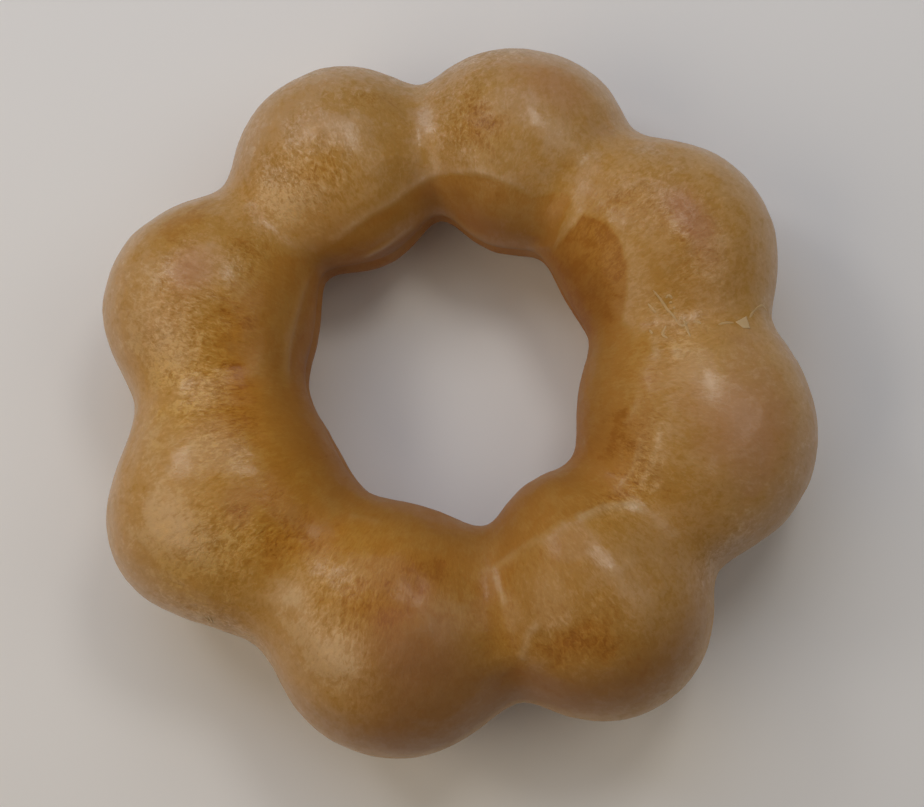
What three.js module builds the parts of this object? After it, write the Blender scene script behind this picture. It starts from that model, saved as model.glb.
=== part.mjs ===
// A glazed ring doughnut: eight balls of dough, set in a ring, that swelled into each other as they
// fried. It is one piece, and it lies flat on its underside.
//
// Millimetres, +Z up. The origin is on the surface that the doughnut lies on, under the middle of
// its width and length. Angles are in degrees: a "turn" runs round the ring from +X towards +Y, and
// a "tilt" runs round the section of the ring, with 0 outwards, 90 up, 180 into the hole and 270
// down.

import * as THREE from "three";
import { ParametricGeometry } from "three/addons/geometries/ParametricGeometry.js";

// ---- Driving dimensions -------------------------------------------------------------------------

// The balls, each a little different, in order round the ring.
//   turn    where the ball lies
//   ring    its centre's distance from the middle of the ring
//   across  half its width, from the hole outwards
//   along   half its length, round the ring
//   lean    how far its width is turned from pointing straight outwards
//   taper   the share by which its length shrinks outwards, or grows where negative
//   bond    how softly it runs into the next ball: larger fills the neck between them more
const BALLS = [
  { turn: 34, ring: 31.75, across: 13.5, along: 15, lean: 5, taper: 0.1, bond: 3 },
  { turn: 76, ring: 32.75, across: 12.75, along: 11.75, lean: 0, taper: -0.25, bond: 3.5 },
  { turn: 117, ring: 33, across: 13, along: 11.75, lean: 5, taper: -0.2, bond: 3.5 },
  { turn: 160, ring: 33.25, across: 13.5, along: 13, lean: -5, taper: -0.05, bond: 4 },
  { turn: 207, ring: 31.5, across: 15, along: 15.5, lean: 0, taper: 0.2, bond: 4 },
  { turn: 257, ring: 30, across: 15, along: 13.75, lean: 5, taper: -0.1, bond: 4 },
  { turn: 305, ring: 30.25, across: 15, along: 11.5, lean: -5, taper: -0.25, bond: 3.5 },
  { turn: 352, ring: 30, across: 14.25, along: 15.75, lean: 35, taper: 0, bond: 2 },
];

// A ball's height above and below its waist, as shares of half its width.
const CROWN_SHARE = 0.96;
const BELLY_SHARE = 0.88;

// How far each ball has settled onto the surface, which leaves it a small flat spot.
const SETTLE = 0.6;

// The fold round the waist, where the half that fried first meets the other: its depth on the wall
// of the hole and on the outside, and how far it reaches up and down.
const FOLD = { insideDepth: 0.7, outsideDepth: 0.3, reach: 1.3 };

// The mesh: steps round the ring, and round its section, where a multiple of four puts a row of
// corners into the fold on both sides.
const RING_STEPS = 144;
const SECTION_STEPS = 32;

// Fried dough under a thin sugar glaze.
const CRUST = { color: 0xaa7c47, roughness: 0.42, metalness: 0 };

// ---- The balls ----------------------------------------------------------------------------------

const radians = THREE.MathUtils.degToRad;

// A ball with what follows from its sizes: its heights, its centre, and the level directions of its
// width and its length.
function placed(ball) {
  const turn = radians(ball.turn);
  const heading = turn + radians(ball.lean);
  const belly = BELLY_SHARE * ball.across;
  const waist = belly - SETTLE;
  return {
    ...ball,
    crown: CROWN_SHARE * ball.across,
    belly,
    waist,
    centre: new THREE.Vector3(ball.ring * Math.cos(turn), ball.ring * Math.sin(turn), waist),
    widthWay: new THREE.Vector3(Math.cos(heading), Math.sin(heading), 0),
    lengthWay: new THREE.Vector3(-Math.sin(heading), Math.cos(heading), 0),
  };
}

const balls = BALLS.map(placed);

// How far a point lies outside a ball's skin, or inside it where negative, measured on the line
// through the ball's centre.
const TAPER_LIMIT = 1.2;
const offset = new THREE.Vector3();

function beyondSkin(ball, point) {
  offset.subVectors(point, ball.centre);
  const out = offset.dot(ball.widthWay) / ball.across;
  const tapered = 1 - ball.taper * THREE.MathUtils.clamp(out, -TAPER_LIMIT, TAPER_LIMIT);
  const round = offset.dot(ball.lengthWay) / (ball.along * tapered);
  const up = offset.z / (offset.z > 0 ? ball.crown : ball.belly);
  const stretch = Math.max(Math.hypot(out, round, up), 1e-6);
  return offset.length() * (1 - 1 / stretch);
}

// How far a point lies outside the dough. The balls run into each other over a width of about bond.
function beyondDough(point, bond) {
  const distances = balls.map((ball) => beyondSkin(ball, point));
  const nearest = Math.min(...distances);
  const nearness = distances.reduce((sum, d) => sum + Math.exp((nearest - d) / bond), 0);
  return nearest - bond * Math.log(nearness);
}

// ---- The ring -----------------------------------------------------------------------------------

// A value that the balls give at their turns, or the necks at theirs, in between them round the
// whole ring. Marks are [turn, value] in rising order.
function roundTheRing(marks, turn) {
  const next = marks.findIndex(([at]) => at > turn);
  const after = next < 0 ? marks[0] : marks[next];
  const before = next < 0 ? marks.at(-1) : marks.at(next - 1);
  const gap = THREE.MathUtils.euclideanModulo(after[0] - before[0], 360);
  const share = THREE.MathUtils.euclideanModulo(turn - before[0], 360) / gap;
  return THREE.MathUtils.lerp(before[1], after[1], share);
}

// The turn of the neck that follows each ball.
function neckTurn(index) {
  const here = balls[index].turn;
  const gap = THREE.MathUtils.euclideanModulo(balls[(index + 1) % balls.length].turn - here, 360);
  return THREE.MathUtils.euclideanModulo(here + gap / 2, 360);
}

const byTurn = (a, b) => a[0] - b[0];
const ringMarks = balls.map((ball) => [ball.turn, ball.ring]);
const waistMarks = balls.map((ball) => [ball.turn, ball.waist]);
const bondMarks = balls.map((ball, index) => [neckTurn(index), ball.bond]).sort(byTurn);

// The distance from the dough's core to its skin, found by halving between a point that is inside
// every section and one that is outside them all.
const INSIDE_REACH = 2;
const OUTSIDE_REACH = 30;
const HALVINGS = 34;
const probe = new THREE.Vector3();

function skinReach(core, way, bond) {
  let low = INSIDE_REACH;
  let high = OUTSIDE_REACH;
  for (let i = 0; i < HALVINGS; i++) {
    const middle = (low + high) / 2;
    probe.copy(core).addScaledVector(way, middle);
    if (beyondDough(probe, bond) < 0) low = middle;
    else high = middle;
  }
  return (low + high) / 2;
}

// The fold's depth at a reach and tilt: deepest at the waist, and gone a few millimetres above and
// below it.
function foldDepth(reach, tilt) {
  const inwards = (1 - Math.cos(tilt)) / 2;
  const depth = THREE.MathUtils.lerp(FOLD.outsideDepth, FOLD.insideDepth, inwards);
  return depth * Math.exp(-(((reach * Math.sin(tilt)) / FOLD.reach) ** 2));
}

// The point of the skin at a share of the way round the ring and round its section. Nothing reaches
// below the surface that the doughnut lies on.
function skinPoint(ringShare, sectionShare, target) {
  const turn = (ringShare % 1) * 360;
  const tilt = (sectionShare % 1) * 2 * Math.PI;
  const outwards = new THREE.Vector3(Math.cos(radians(turn)), Math.sin(radians(turn)), 0);
  const core = outwards.clone().multiplyScalar(roundTheRing(ringMarks, turn));
  core.z = roundTheRing(waistMarks, turn);
  const way = outwards.multiplyScalar(Math.cos(tilt));
  way.z = Math.sin(tilt);
  let reach = skinReach(core, way, roundTheRing(bondMarks, turn));
  reach -= foldDepth(reach, tilt);
  if (way.z < 0) reach = Math.min(reach, core.z / -way.z);
  target.copy(core).addScaledVector(way, reach);
}

function doughnut() {
  const material = new THREE.MeshStandardMaterial(CRUST);
  // The ring runs first, so that the faces point out.
  const geometry = new ParametricGeometry(skinPoint, RING_STEPS, SECTION_STEPS);
  // The ring is uneven, so the middle of its width and length is not quite the middle of the ring.
  geometry.computeBoundingBox();
  const middle = geometry.boundingBox.getCenter(new THREE.Vector3());
  geometry.translate(-middle.x, -middle.y, 0);
  const mesh = new THREE.Mesh(geometry, material);
  mesh.name = "doughnut";
  return mesh;
}

const ringDoughnut = new THREE.Group();
ringDoughnut.add(doughnut());

export default ringDoughnut;
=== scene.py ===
"""The looks of a glazed ring doughnut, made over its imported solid.

Everything is in metres, +Z up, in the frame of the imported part. Sizes are written in millimetres
and multiplied by MM. A place on the skin is a turn and a tilt, in degrees. The turn runs round the
ring from +X towards +Y. The tilt runs round the ring's section: 0 outwards, 90 up, 180 into the
hole and 270 down.
"""

import logging
import math
from collections.abc import Sequence
from dataclasses import dataclass
from enum import Enum
from typing import ClassVar

import bmesh
import bpy
import numpy as np
from mathutils import Matrix, Vector


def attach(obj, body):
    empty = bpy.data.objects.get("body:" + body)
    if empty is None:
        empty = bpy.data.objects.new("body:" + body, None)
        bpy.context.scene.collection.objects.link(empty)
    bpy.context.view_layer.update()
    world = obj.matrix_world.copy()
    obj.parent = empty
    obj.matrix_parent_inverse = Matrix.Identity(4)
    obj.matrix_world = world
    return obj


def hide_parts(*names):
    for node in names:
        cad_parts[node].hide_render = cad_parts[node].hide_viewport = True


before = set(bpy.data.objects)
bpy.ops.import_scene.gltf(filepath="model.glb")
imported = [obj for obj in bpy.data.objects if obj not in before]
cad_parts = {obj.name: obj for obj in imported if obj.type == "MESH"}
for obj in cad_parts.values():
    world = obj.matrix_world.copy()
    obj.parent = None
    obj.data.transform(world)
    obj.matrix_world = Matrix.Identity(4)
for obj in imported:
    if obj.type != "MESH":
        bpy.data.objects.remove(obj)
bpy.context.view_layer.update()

MM = 0.001
TINY = 1e-6
log = logging.getLogger("doughnut")

Tree = bpy.types.NodeTree
Node = bpy.types.Node
Socket = bpy.types.NodeSocket
Object = bpy.types.Object
Material = bpy.types.Material

MATH = "ShaderNodeMath"
VECTOR_MATH = "ShaderNodeVectorMath"
MAP_RANGE = "ShaderNodeMapRange"
UPWARDS = (0.0, 0.0, 1.0)

# The turn and tilt of each point that a line on the skin goes through.
Path = tuple[tuple[float, float], ...]

# What the steps of a calculation with nodes have found, by name.
Known = dict[str, Node | Socket | float]


# ---- Small tools --------------------------------------------------------------------------------


def linear(colour: str) -> tuple[float, float, float, float]:
    """Turn an sRGB hex colour into a linear one.

    Args:
        colour: A colour such as "#B58A55".

    Returns:
        Linear red, green and blue, and an alpha of 1.
    """
    shares = [int(colour[i : i + 2], 16) / 255 for i in (1, 3, 5)]
    parts = [s / 12.92 if s <= 0.04045 else ((s + 0.055) / 1.055) ** 2.4 for s in shares]
    return (parts[0], parts[1], parts[2], 1.0)


def add_node(
    tree: Tree, kind: str, inputs: dict[str | int, object] | None = None, **settings: object
) -> Node:
    """Add a node to a tree, with its settings and links.

    Args:
        tree: The shader or geometry tree.
        kind: The node's type name.
        inputs: What goes into each input, by the input's name or its place among those in use. A
            node stands for its first output in use, a socket is linked, and anything else is a
            value.
        **settings: The node's own properties.

    Returns:
        The new node.
    """
    node = tree.nodes.new(kind)
    for name, value in settings.items():
        setattr(node, name, value)
    for key, value in (inputs or {}).items():
        in_use = [socket for socket in node.inputs if socket.enabled]
        socket = in_use[key] if isinstance(key, int) else next(s for s in in_use if s.name == key)
        if isinstance(value, Node):
            value = next(s for s in value.outputs if s.enabled)
        if isinstance(value, Socket):
            tree.links.new(value, socket)
        else:
            socket.default_value = value
    return node


def smooth_step(values: np.ndarray, start: float, end: float) -> np.ndarray:
    """Rise smoothly from 0 at start to 1 at end, for each value."""
    share = np.clip((values - start) / (end - start), 0.0, 1.0)
    return share * share * (3.0 - 2.0 * share)


def wrapped(degrees: np.ndarray) -> np.ndarray:
    """Return each angle as one from -180 to 180 degrees."""
    return (degrees + 180.0) % 360.0 - 180.0


def read_vectors(items: bpy.types.bpy_prop_collection, name: str) -> np.ndarray:
    """Read a vector property of every item of a collection.

    Args:
        items: The collection, such as a mesh's vertices.
        name: The property's name.

    Returns:
        One row for each item.
    """
    values = np.empty(len(items) * 3)
    items.foreach_get(name, values)
    return values.reshape(-1, 3)


def write_values(mesh: bpy.types.Mesh, name: str, rows: np.ndarray | list) -> None:
    """Add an attribute to a mesh's vertices.

    Args:
        mesh: The mesh.
        name: The attribute's name.
        rows: A number or a vector for each vertex.
    """
    array = np.asarray(rows, dtype=float)
    kind, field = ("FLOAT_VECTOR", "vector") if array.ndim == 2 else ("FLOAT", "value")
    mesh.attributes.new(name, kind, "POINT").data.foreach_set(field, array.ravel())


def linked(name: str, data: bpy.types.ID) -> Object:
    """Make an object for a mesh, a light or a camera, and link it to the scene.

    Args:
        name: The object's name.
        data: What it holds.

    Returns:
        The object.
    """
    thing = bpy.data.objects.new(name, data)
    bpy.context.scene.collection.objects.link(thing)
    return thing


def marked_points(
    name: str,
    points: np.ndarray,
    values: dict[str, np.ndarray | list],
    links: Sequence[tuple[int, int]] = (),
) -> Object:
    """Make an object of vertices that carry values.

    Args:
        name: The object's name.
        points: The vertices' places, in metres.
        values: For each attribute, a number or a vector for each vertex.
        links: The pairs of vertices that an edge joins.

    Returns:
        The object, linked to the scene.
    """
    mesh = bpy.data.meshes.new(name)
    mesh.from_pydata(points.tolist(), links, [])
    for key, rows in values.items():
        write_values(mesh, key, rows)
    return linked(name, mesh)


def plain_copy(source: Object, name: str, finish: Material) -> Object:
    """Turn an object's evaluated shape into a plain mesh object of its own.

    Args:
        source: The object with live modifiers.
        name: The new object's name.
        finish: The one material that it keeps.

    Returns:
        The new object, with no modifiers.
    """
    depsgraph = bpy.context.evaluated_depsgraph_get()
    shaped = source.evaluated_get(depsgraph)
    mesh = bpy.data.meshes.new_from_object(
        shaped, preserve_all_data_layers=True, depsgraph=depsgraph
    )
    mesh.name = name
    mesh.materials.clear()
    mesh.materials.append(finish)
    mesh.polygons.foreach_set("material_index", [0] * len(mesh.polygons))
    return linked(name, mesh)


def open_tree(name: str, inputs: dict[str, str]) -> tuple[Tree, dict[str, str]]:
    """Start a geometry tree with named inputs and a shape as its output.

    Args:
        name: The tree's name.
        inputs: The kind of each input, by its name.

    Returns:
        The tree, and the identifier of each of its inputs by name.
    """
    tree = bpy.data.node_groups.new(name, "GeometryNodeTree")
    identifiers = {}
    for label, kind in inputs.items():
        kind = f"NodeSocket{kind}"
        socket = tree.interface.new_socket(name=label, in_out="INPUT", socket_type=kind)
        identifiers[label] = socket.identifier
    tree.interface.new_socket(name="Shape", in_out="OUTPUT", socket_type="NodeSocketGeometry")
    return tree, identifiers


def close_tree(tree: Tree, shape: Node, finish: Socket) -> None:
    """End a geometry tree: its shape is shaded smooth, made real, dressed and handed out.

    Args:
        tree: The tree.
        shape: The node that holds the shape.
        finish: The input that holds its material.
    """
    smooth = add_node(tree, "GeometryNodeSetShadeSmooth", {"Geometry": shape})
    real = add_node(tree, "GeometryNodeRealizeInstances", {"Geometry": smooth})
    dressed = add_node(tree, "GeometryNodeSetMaterial", {"Geometry": real, "Material": finish})
    add_node(tree, "NodeGroupOutput", {"Shape": dressed})


def grown(
    source: Object, tree: Tree, values: dict[str, object], name: str, finish: Material
) -> Object:
    """Run a geometry tree on an object, and keep the result as a plain mesh in its place.

    Args:
        source: The object, which is removed.
        tree: The tree.
        values: The value of each input, by the input's identifier.
        name: The new object's name.
        finish: The one material that it keeps.

    Returns:
        The new object.
    """
    modifier = source.modifiers.new(tree.name, "NODES")
    modifier.node_group = tree
    for identifier, value in values.items():
        modifier[identifier] = value
    piece = plain_copy(source, name, finish)
    bpy.data.objects.remove(source)
    return piece


# ---- The dough's shape --------------------------------------------------------------------------


@dataclass(frozen=True)
class Ball:
    """One ball of dough. Angles are in degrees and lengths in millimetres.

    Attributes:
        turn: Where it lies round the ring.
        ring: Its centre's distance from the middle of the ring.
        across: Half its width, from the hole outwards.
        along: Half its length, round the ring.
        lean: How far its width is turned from pointing straight outwards.
        taper: The share by which its length shrinks outwards, or grows where negative.
        bond: How softly it runs into the next ball.
    """

    turn: float
    ring: float
    across: float
    along: float
    lean: float
    taper: float
    bond: float


BALLS = (
    Ball(turn=34, ring=31.75, across=13.5, along=15, lean=5, taper=0.1, bond=3),
    Ball(turn=76, ring=32.75, across=12.75, along=11.75, lean=0, taper=-0.25, bond=3.5),
    Ball(turn=117, ring=33, across=13, along=11.75, lean=5, taper=-0.2, bond=3.5),
    Ball(turn=160, ring=33.25, across=13.5, along=13, lean=-5, taper=-0.05, bond=4),
    Ball(turn=207, ring=31.5, across=15, along=15.5, lean=0, taper=0.2, bond=4),
    Ball(turn=257, ring=30, across=15, along=13.75, lean=5, taper=-0.1, bond=4),
    Ball(turn=305, ring=30.25, across=15, along=11.5, lean=-5, taper=-0.25, bond=3.5),
    Ball(turn=352, ring=30, across=14.25, along=15.75, lean=35, taper=0, bond=2),
)


@dataclass(frozen=True)
class DoughRing:
    """The ring of balls as one fine skin, grown outwards from a path through the balls.

    Lengths are in millimetres.

    Attributes:
        balls: The balls, in order round the ring.
        crown_share: A ball's height above its waist, as a share of half its width.
        belly_share: Its depth below its waist, as a share of half its width.
        settle: How far each ball has settled, which leaves it a flat spot.
        fold_inside: Depth of the fold round the waist, on the wall of the hole.
        fold_outside: Depth of the fold on the outside.
        fold_reach: How far the fold reaches up and down.
        ring_steps: Steps of the mesh round the ring.
        section_steps: Steps of the mesh round the ring's section.
        halvings: How often the search for the skin halves its range.
        sway: Height of the dough's slow unevenness.
        sway_size: Distance from one rise of that unevenness to the next.
        ripple: Height of the fine unevenness that frying leaves.
        ripple_size: Distance from one rise of that to the next.
        pucker: Height of the finest unevenness, where the skin shrank as it dried.
        pucker_size: Distance from one rise of that to the next.
        seed: Which unevenness it is.
    """

    balls: tuple[Ball, ...] = BALLS
    crown_share: float = 0.96
    belly_share: float = 0.88
    settle: float = 0.6
    fold_inside: float = 0.7
    fold_outside: float = 0.3
    fold_reach: float = 1.3
    ring_steps: int = 480
    section_steps: int = 200
    halvings: int = 20
    sway: float = 0.7
    sway_size: float = 9.0
    ripple: float = 0.16
    ripple_size: float = 2.6
    pucker: float = 0.05
    pucker_size: float = 1.25
    seed: float = 7.0

    def waist(self, ball: Ball) -> float:
        """Return the height of a ball's waist above the surface it lies on."""
        return self.belly_share * ball.across - self.settle

    def turns(self) -> np.ndarray:
        """Return the turn of each of the mesh's steps round the ring."""
        return np.arange(self.ring_steps) * 360.0 / self.ring_steps

    def round_the_ring(self, marks: list[tuple[float, float]]) -> np.ndarray:
        """Carry values given at some turns on round the whole ring.

        Args:
            marks: The turn and the value of each mark.

        Returns:
            The value at each of the mesh's steps round the ring.
        """
        at, value = zip(*sorted((turn % 360.0, value) for turn, value in marks))
        return np.interp(self.turns(), at, value, period=360.0)

    def core(self) -> Object:
        """Make the path through the balls that the skin grows from.

        Returns:
            An object with one vertex for each step round the ring. Each vertex carries its turn,
            in radians, and the softness of the bond there, in metres.
        """
        necks = []
        for ball, after in zip(self.balls, self.balls[1:] + self.balls[:1]):
            gap = (after.turn - ball.turn) % 360.0
            necks.append((ball.turn + gap / 2.0, ball.bond))
        turns = np.radians(self.turns())
        reach = self.round_the_ring([(ball.turn, ball.ring) for ball in self.balls])
        height = self.round_the_ring([(ball.turn, self.waist(ball)) for ball in self.balls])
        points = np.stack([reach * np.cos(turns), reach * np.sin(turns), height], axis=1)
        values = {"turn": turns, "bond": self.round_the_ring(necks) * MM}
        return marked_points("dough_core", points * MM, values)

    def centres(self) -> Object:
        """Make a point at each ball's centre.

        Returns:
            An object with one vertex for each ball, which carries the ball's sizes in metres.
        """
        turns = np.radians([ball.turn for ball in self.balls])
        headings = np.radians([ball.turn + ball.lean for ball in self.balls])
        rings = np.array([ball.ring for ball in self.balls])
        waists = np.array([self.waist(ball) for ball in self.balls])
        across = np.array([ball.across for ball in self.balls]) * MM
        values = {
            "width_way": np.stack([np.cos(headings), np.sin(headings), 0.0 * headings], axis=1),
            "across": across,
            "along": np.array([ball.along for ball in self.balls]) * MM,
            "crown": across * self.crown_share,
            "belly": across * self.belly_share,
            "taper": [ball.taper for ball in self.balls],
        }
        points = np.stack([rings * np.cos(turns), rings * np.sin(turns), waists], axis=1)
        return marked_points("dough_centres", points * MM, values)

    def make(self, crust: Material) -> Object:
        """Grow the skin and turn it into a plain mesh.

        Args:
            crust: The skin's finish.

        Returns:
            The skin, with the turn and tilt of each vertex as attributes.
        """
        centres = self.centres()
        skin = SkinTree(len(self.balls))
        skin.build()
        values = {
            "Balls": centres,
            "Ring Steps": self.ring_steps,
            "Section Steps": self.section_steps,
            "Halvings": self.halvings,
            "Fold Inside": self.fold_inside * MM,
            "Fold Outside": self.fold_outside * MM,
            "Fold Reach": self.fold_reach * MM,
            "Sway": self.sway * MM,
            "Sway Size": self.sway_size * MM,
            "Ripple": self.ripple * MM,
            "Ripple Size": self.ripple_size * MM,
            "Pucker": self.pucker * MM,
            "Pucker Size": self.pucker_size * MM,
            "Seed": self.seed,
            "Crust": crust,
        }
        values = {skin.identifiers[name]: value for name, value in values.items()}
        piece = grown(self.core(), skin.tree, values, "glazed_doughnut", crust)
        bpy.data.objects.remove(centres)
        # The ring is uneven, so the middle of its width and length is not the middle of the ring.
        points = read_vectors(piece.data.vertices, "co")
        middle = (points.min(axis=0) + points.max(axis=0)) / 2.0
        points[:, :2] -= middle[:2]
        piece.data.vertices.foreach_set("co", points.ravel())
        piece.data.update()
        return piece


# For each kind of sum in a calculation with nodes: the node that does it, and the node's settings.
SUMS = {
    name: (kind, {setting: option})
    for kind, setting, options in (
        (
            MATH,
            "operation",
            {
                "+": "ADD", "-": "SUBTRACT", "*": "MULTIPLY", "/": "DIVIDE", "least": "MINIMUM",
                "most": "MAXIMUM", "cos": "COSINE", "sin": "SINE", "exp": "EXPONENT",
            },
        ),
        (
            VECTOR_MATH,
            "operation",
            {
                "vector +": "ADD", "vector -": "SUBTRACT", "scaled": "SCALE", "dot": "DOT_PRODUCT",
                "cross": "CROSS_PRODUCT", "length": "LENGTH",
            },
        ),
        (
            "FunctionNodeIntegerMath",
            "operation",
            {"whole +": "ADD", "whole /": "DIVIDE_FLOOR", "remainder": "FLOORED_MODULO"},
        ),
        ("FunctionNodeCompare", "operation", {">": "GREATER_THAN", "<": "LESS_THAN"}),
        ("GeometryNodeSwitch", "input_type", {"if": "FLOAT"}),
        ("ShaderNodeClamp", "clamp_type", {"limited": "MINMAX"}),
        (MAP_RANGE, "interpolation_type", {"mapped": "LINEAR", "eased": "SMOOTHSTEP"}),
        ("ShaderNodeCombineXYZ", "label", {"vector": ""}),
    )
    for name, option in options.items()
}


@dataclass
class SkinTree:
    """The node tree that grows a skin round the balls.

    From each point of the core it looks outwards, all the way round the section. It finds by
    halving how far out the balls' joint skin is: a ball's nearness at a point is
    exp(-distance / bond), and the skin is where the nearness of all the balls together is 1.

    Attributes:
        ball_count: How many balls there are.
        inside_reach: A distance from the core that is inside the dough everywhere, in metres.
        outside_reach: A distance from it that is outside the dough everywhere.
        taper_limit: How far along its width a ball goes on tapering, in shares of its half width.
        weld: How close the ends of the grid lie where they are joined into a ring.
        resting: The height above the floor up to which the unevenness fades towards the flat spots.
        rough: The detail, roughness and distortion of the unevenness.
    """

    INPUTS: ClassVar[dict[str, str]] = {
        "Core": "Geometry",
        "Balls": "Object",
        "Ring Steps": "Int",
        "Section Steps": "Int",
        "Halvings": "Int",
        "Fold Inside": "Float",
        "Fold Outside": "Float",
        "Fold Reach": "Float",
        "Sway": "Float",
        "Sway Size": "Float",
        "Ripple": "Float",
        "Ripple Size": "Float",
        "Pucker": "Float",
        "Pucker Size": "Float",
        "Seed": "Float",
        "Crust": "Material",
    }
    VECTORS: ClassVar[tuple[str, ...]] = ("core", "way", "probe", "width_way")

    ball_count: int
    inside_reach: float = 2.0 * MM
    outside_reach: float = 30.0 * MM
    taper_limit: float = 1.2
    weld: float = 1e-7
    resting: float = 3.0 * MM
    rough: tuple[float, float, float] = (1.5, 0.45, 0.4)

    def __post_init__(self) -> None:
        """Start the tree with its inputs."""
        self.tree, self.identifiers = open_tree("grow_skin", self.INPUTS)
        self.given = add_node(self.tree, "NodeGroupInput").outputs

    def build(self) -> None:
        """Build the tree from its inputs to its output."""
        shape = self.add_skin(self.add_search(self.add_rays()))
        for name in ("Sway", "Ripple", "Pucker"):
            shape = self.add_unevenness(shape, name)
        close_tree(self.tree, shape, self.given["Crust"])

    def named(self, name: str) -> Node:
        """Add a reader of a named attribute."""
        kind = "FLOAT_VECTOR" if name in self.VECTORS else "FLOAT"
        reader = "GeometryNodeInputNamedAttribute"
        return add_node(self.tree, reader, {"Name": name}, data_type=kind)

    def store(self, shape: Node | Socket, name: str, value: Node | Socket | float) -> Node:
        """Add a writer of a named attribute.

        Args:
            shape: What holds the shape.
            name: The attribute's name.
            value: What is written.

        Returns:
            The node that holds the shape with the attribute.
        """
        return add_node(
            self.tree,
            "GeometryNodeStoreNamedAttribute",
            {"Geometry": shape, "Name": name, "Value": value},
            data_type="FLOAT_VECTOR" if name in self.VECTORS else "FLOAT",
            domain="POINT",
        )

    def sample(self, shape: Socket, value: Node, index: Node | Socket) -> Node:
        """Add a reader of a value at one vertex of another shape.

        Args:
            shape: The other shape.
            value: The value.
            index: The vertex's index.

        Returns:
            The node that holds the value there.
        """
        vector = next(s for s in value.outputs if s.enabled).type == "VECTOR"
        return add_node(
            self.tree,
            "GeometryNodeSampleIndex",
            {"Geometry": shape, "Value": value, "Index": index},
            data_type="FLOAT_VECTOR" if vector else "FLOAT",
        )

    def work_out(self, known: Known, *steps: tuple) -> Known:
        """Add the nodes of a calculation, one for each step.

        Args:
            known: What the steps can use, by name. Their results are added to it. A name that
                isn't in it is that of one of the tree's inputs, or else of an attribute.
            *steps: The name of each step's result, its kind of sum, and what goes into it, by
                name or as a value.

        Returns:
            All that is known after the last step.
        """
        for name, sum_name, *inputs in steps:
            values = {}
            for i, value in enumerate(inputs):
                if isinstance(value, str) and value not in known:
                    known[value] = self.given[value] if value in self.INPUTS else self.named(value)
                values[i] = known[value] if isinstance(value, str) else value
            kind, settings = SUMS[sum_name]
            known[name] = add_node(self.tree, kind, values, **settings)
        return known

    def add_rays(self) -> Node:
        """Add a grid whose vertices each hold a point of the core and a way out from it.

        Returns:
            The node that holds the grid.
        """
        tree, core = self.tree, self.given["Core"]
        known = self.work_out(
            {"index": add_node(tree, "GeometryNodeInputIndex")},
            ("rows", "whole +", "Ring Steps", 1),
            ("columns", "whole +", "Section Steps", 1),
            ("row", "whole /", "index", "columns"),
            ("step", "remainder", "row", "Ring Steps"),
            ("column", "remainder", "index", "columns"),
            ("turned", "remainder", "column", "Section Steps"),
            ("share", "/", "turned", "Section Steps"),
            ("tilt", "*", "share", math.tau),
        )
        for name in ("turn", "bond"):
            known[name] = self.sample(core, self.named(name), known["step"])
        self.work_out(
            known,
            ("outwards", "cos", "tilt"),
            ("upwards", "sin", "tilt"),
            ("cosine", "cos", "turn"),
            ("sine", "sin", "turn"),
            ("way_x", "*", "outwards", "cosine"),
            ("way_y", "*", "outwards", "sine"),
            ("way", "vector", "way_x", "way_y", "upwards"),
        )
        place = add_node(tree, "GeometryNodeInputPosition")
        known["core"] = self.sample(core, place, known["step"])
        known |= {"low": self.inside_reach, "high": self.outside_reach}
        size = {"Vertices X": known["rows"], "Vertices Y": known["columns"]}
        held = add_node(tree, "GeometryNodeMeshGrid", size)
        for name in ("core", "way", "bond", "turn", "tilt", "low", "high"):
            held = self.store(held, name, known[name])
        return held

    def add_search(self, grid: Node) -> Node:
        """Add the search for the skin, which halves each vertex's range of reach over and over.

        Args:
            grid: The node that holds the grid of rays.

        Returns:
            The node that holds the searched grid.
        """
        start, end = self.add_loop(grid, self.given["Halvings"])
        known = self.work_out(
            {},
            ("both", "+", "low", "high"),
            ("middle", "*", "both", 0.5),
            ("out", "scaled", "way", "middle"),
            ("tried", "vector +", "core", "out"),
        )
        probed = self.store(start.outputs["Geometry"], "probe", known["tried"])
        summed = self.add_nearness(self.store(probed, "nearness", 0.0))
        self.work_out(
            known,
            ("inside", ">", "nearness", 1.0),
            ("new_low", "if", "inside", "low", "middle"),
            ("new_high", "if", "inside", "middle", "high"),
        )
        # Both new ends come from the old ones, so the new low end waits until both are worked out.
        held = self.store(summed, "new_low", known["new_low"])
        held = self.store(held, "high", known["new_high"])
        halved = self.store(held, "low", self.named("new_low"))
        self.tree.links.new(halved.outputs["Geometry"], end.inputs["Geometry"])
        return end

    def add_loop(self, shape: Node, times: Socket | int) -> tuple[Node, Node]:
        """Add a zone that works on a shape again and again.

        Args:
            shape: The node that holds the shape.
            times: How often.

        Returns:
            The nodes at the zone's start and end.
        """
        start = add_node(self.tree, "GeometryNodeRepeatInput", {"Iterations": times})
        end = add_node(self.tree, "GeometryNodeRepeatOutput")
        start.pair_with_output(end)
        self.tree.links.new(shape.outputs["Geometry"], start.inputs["Geometry"])
        return start, end

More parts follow.
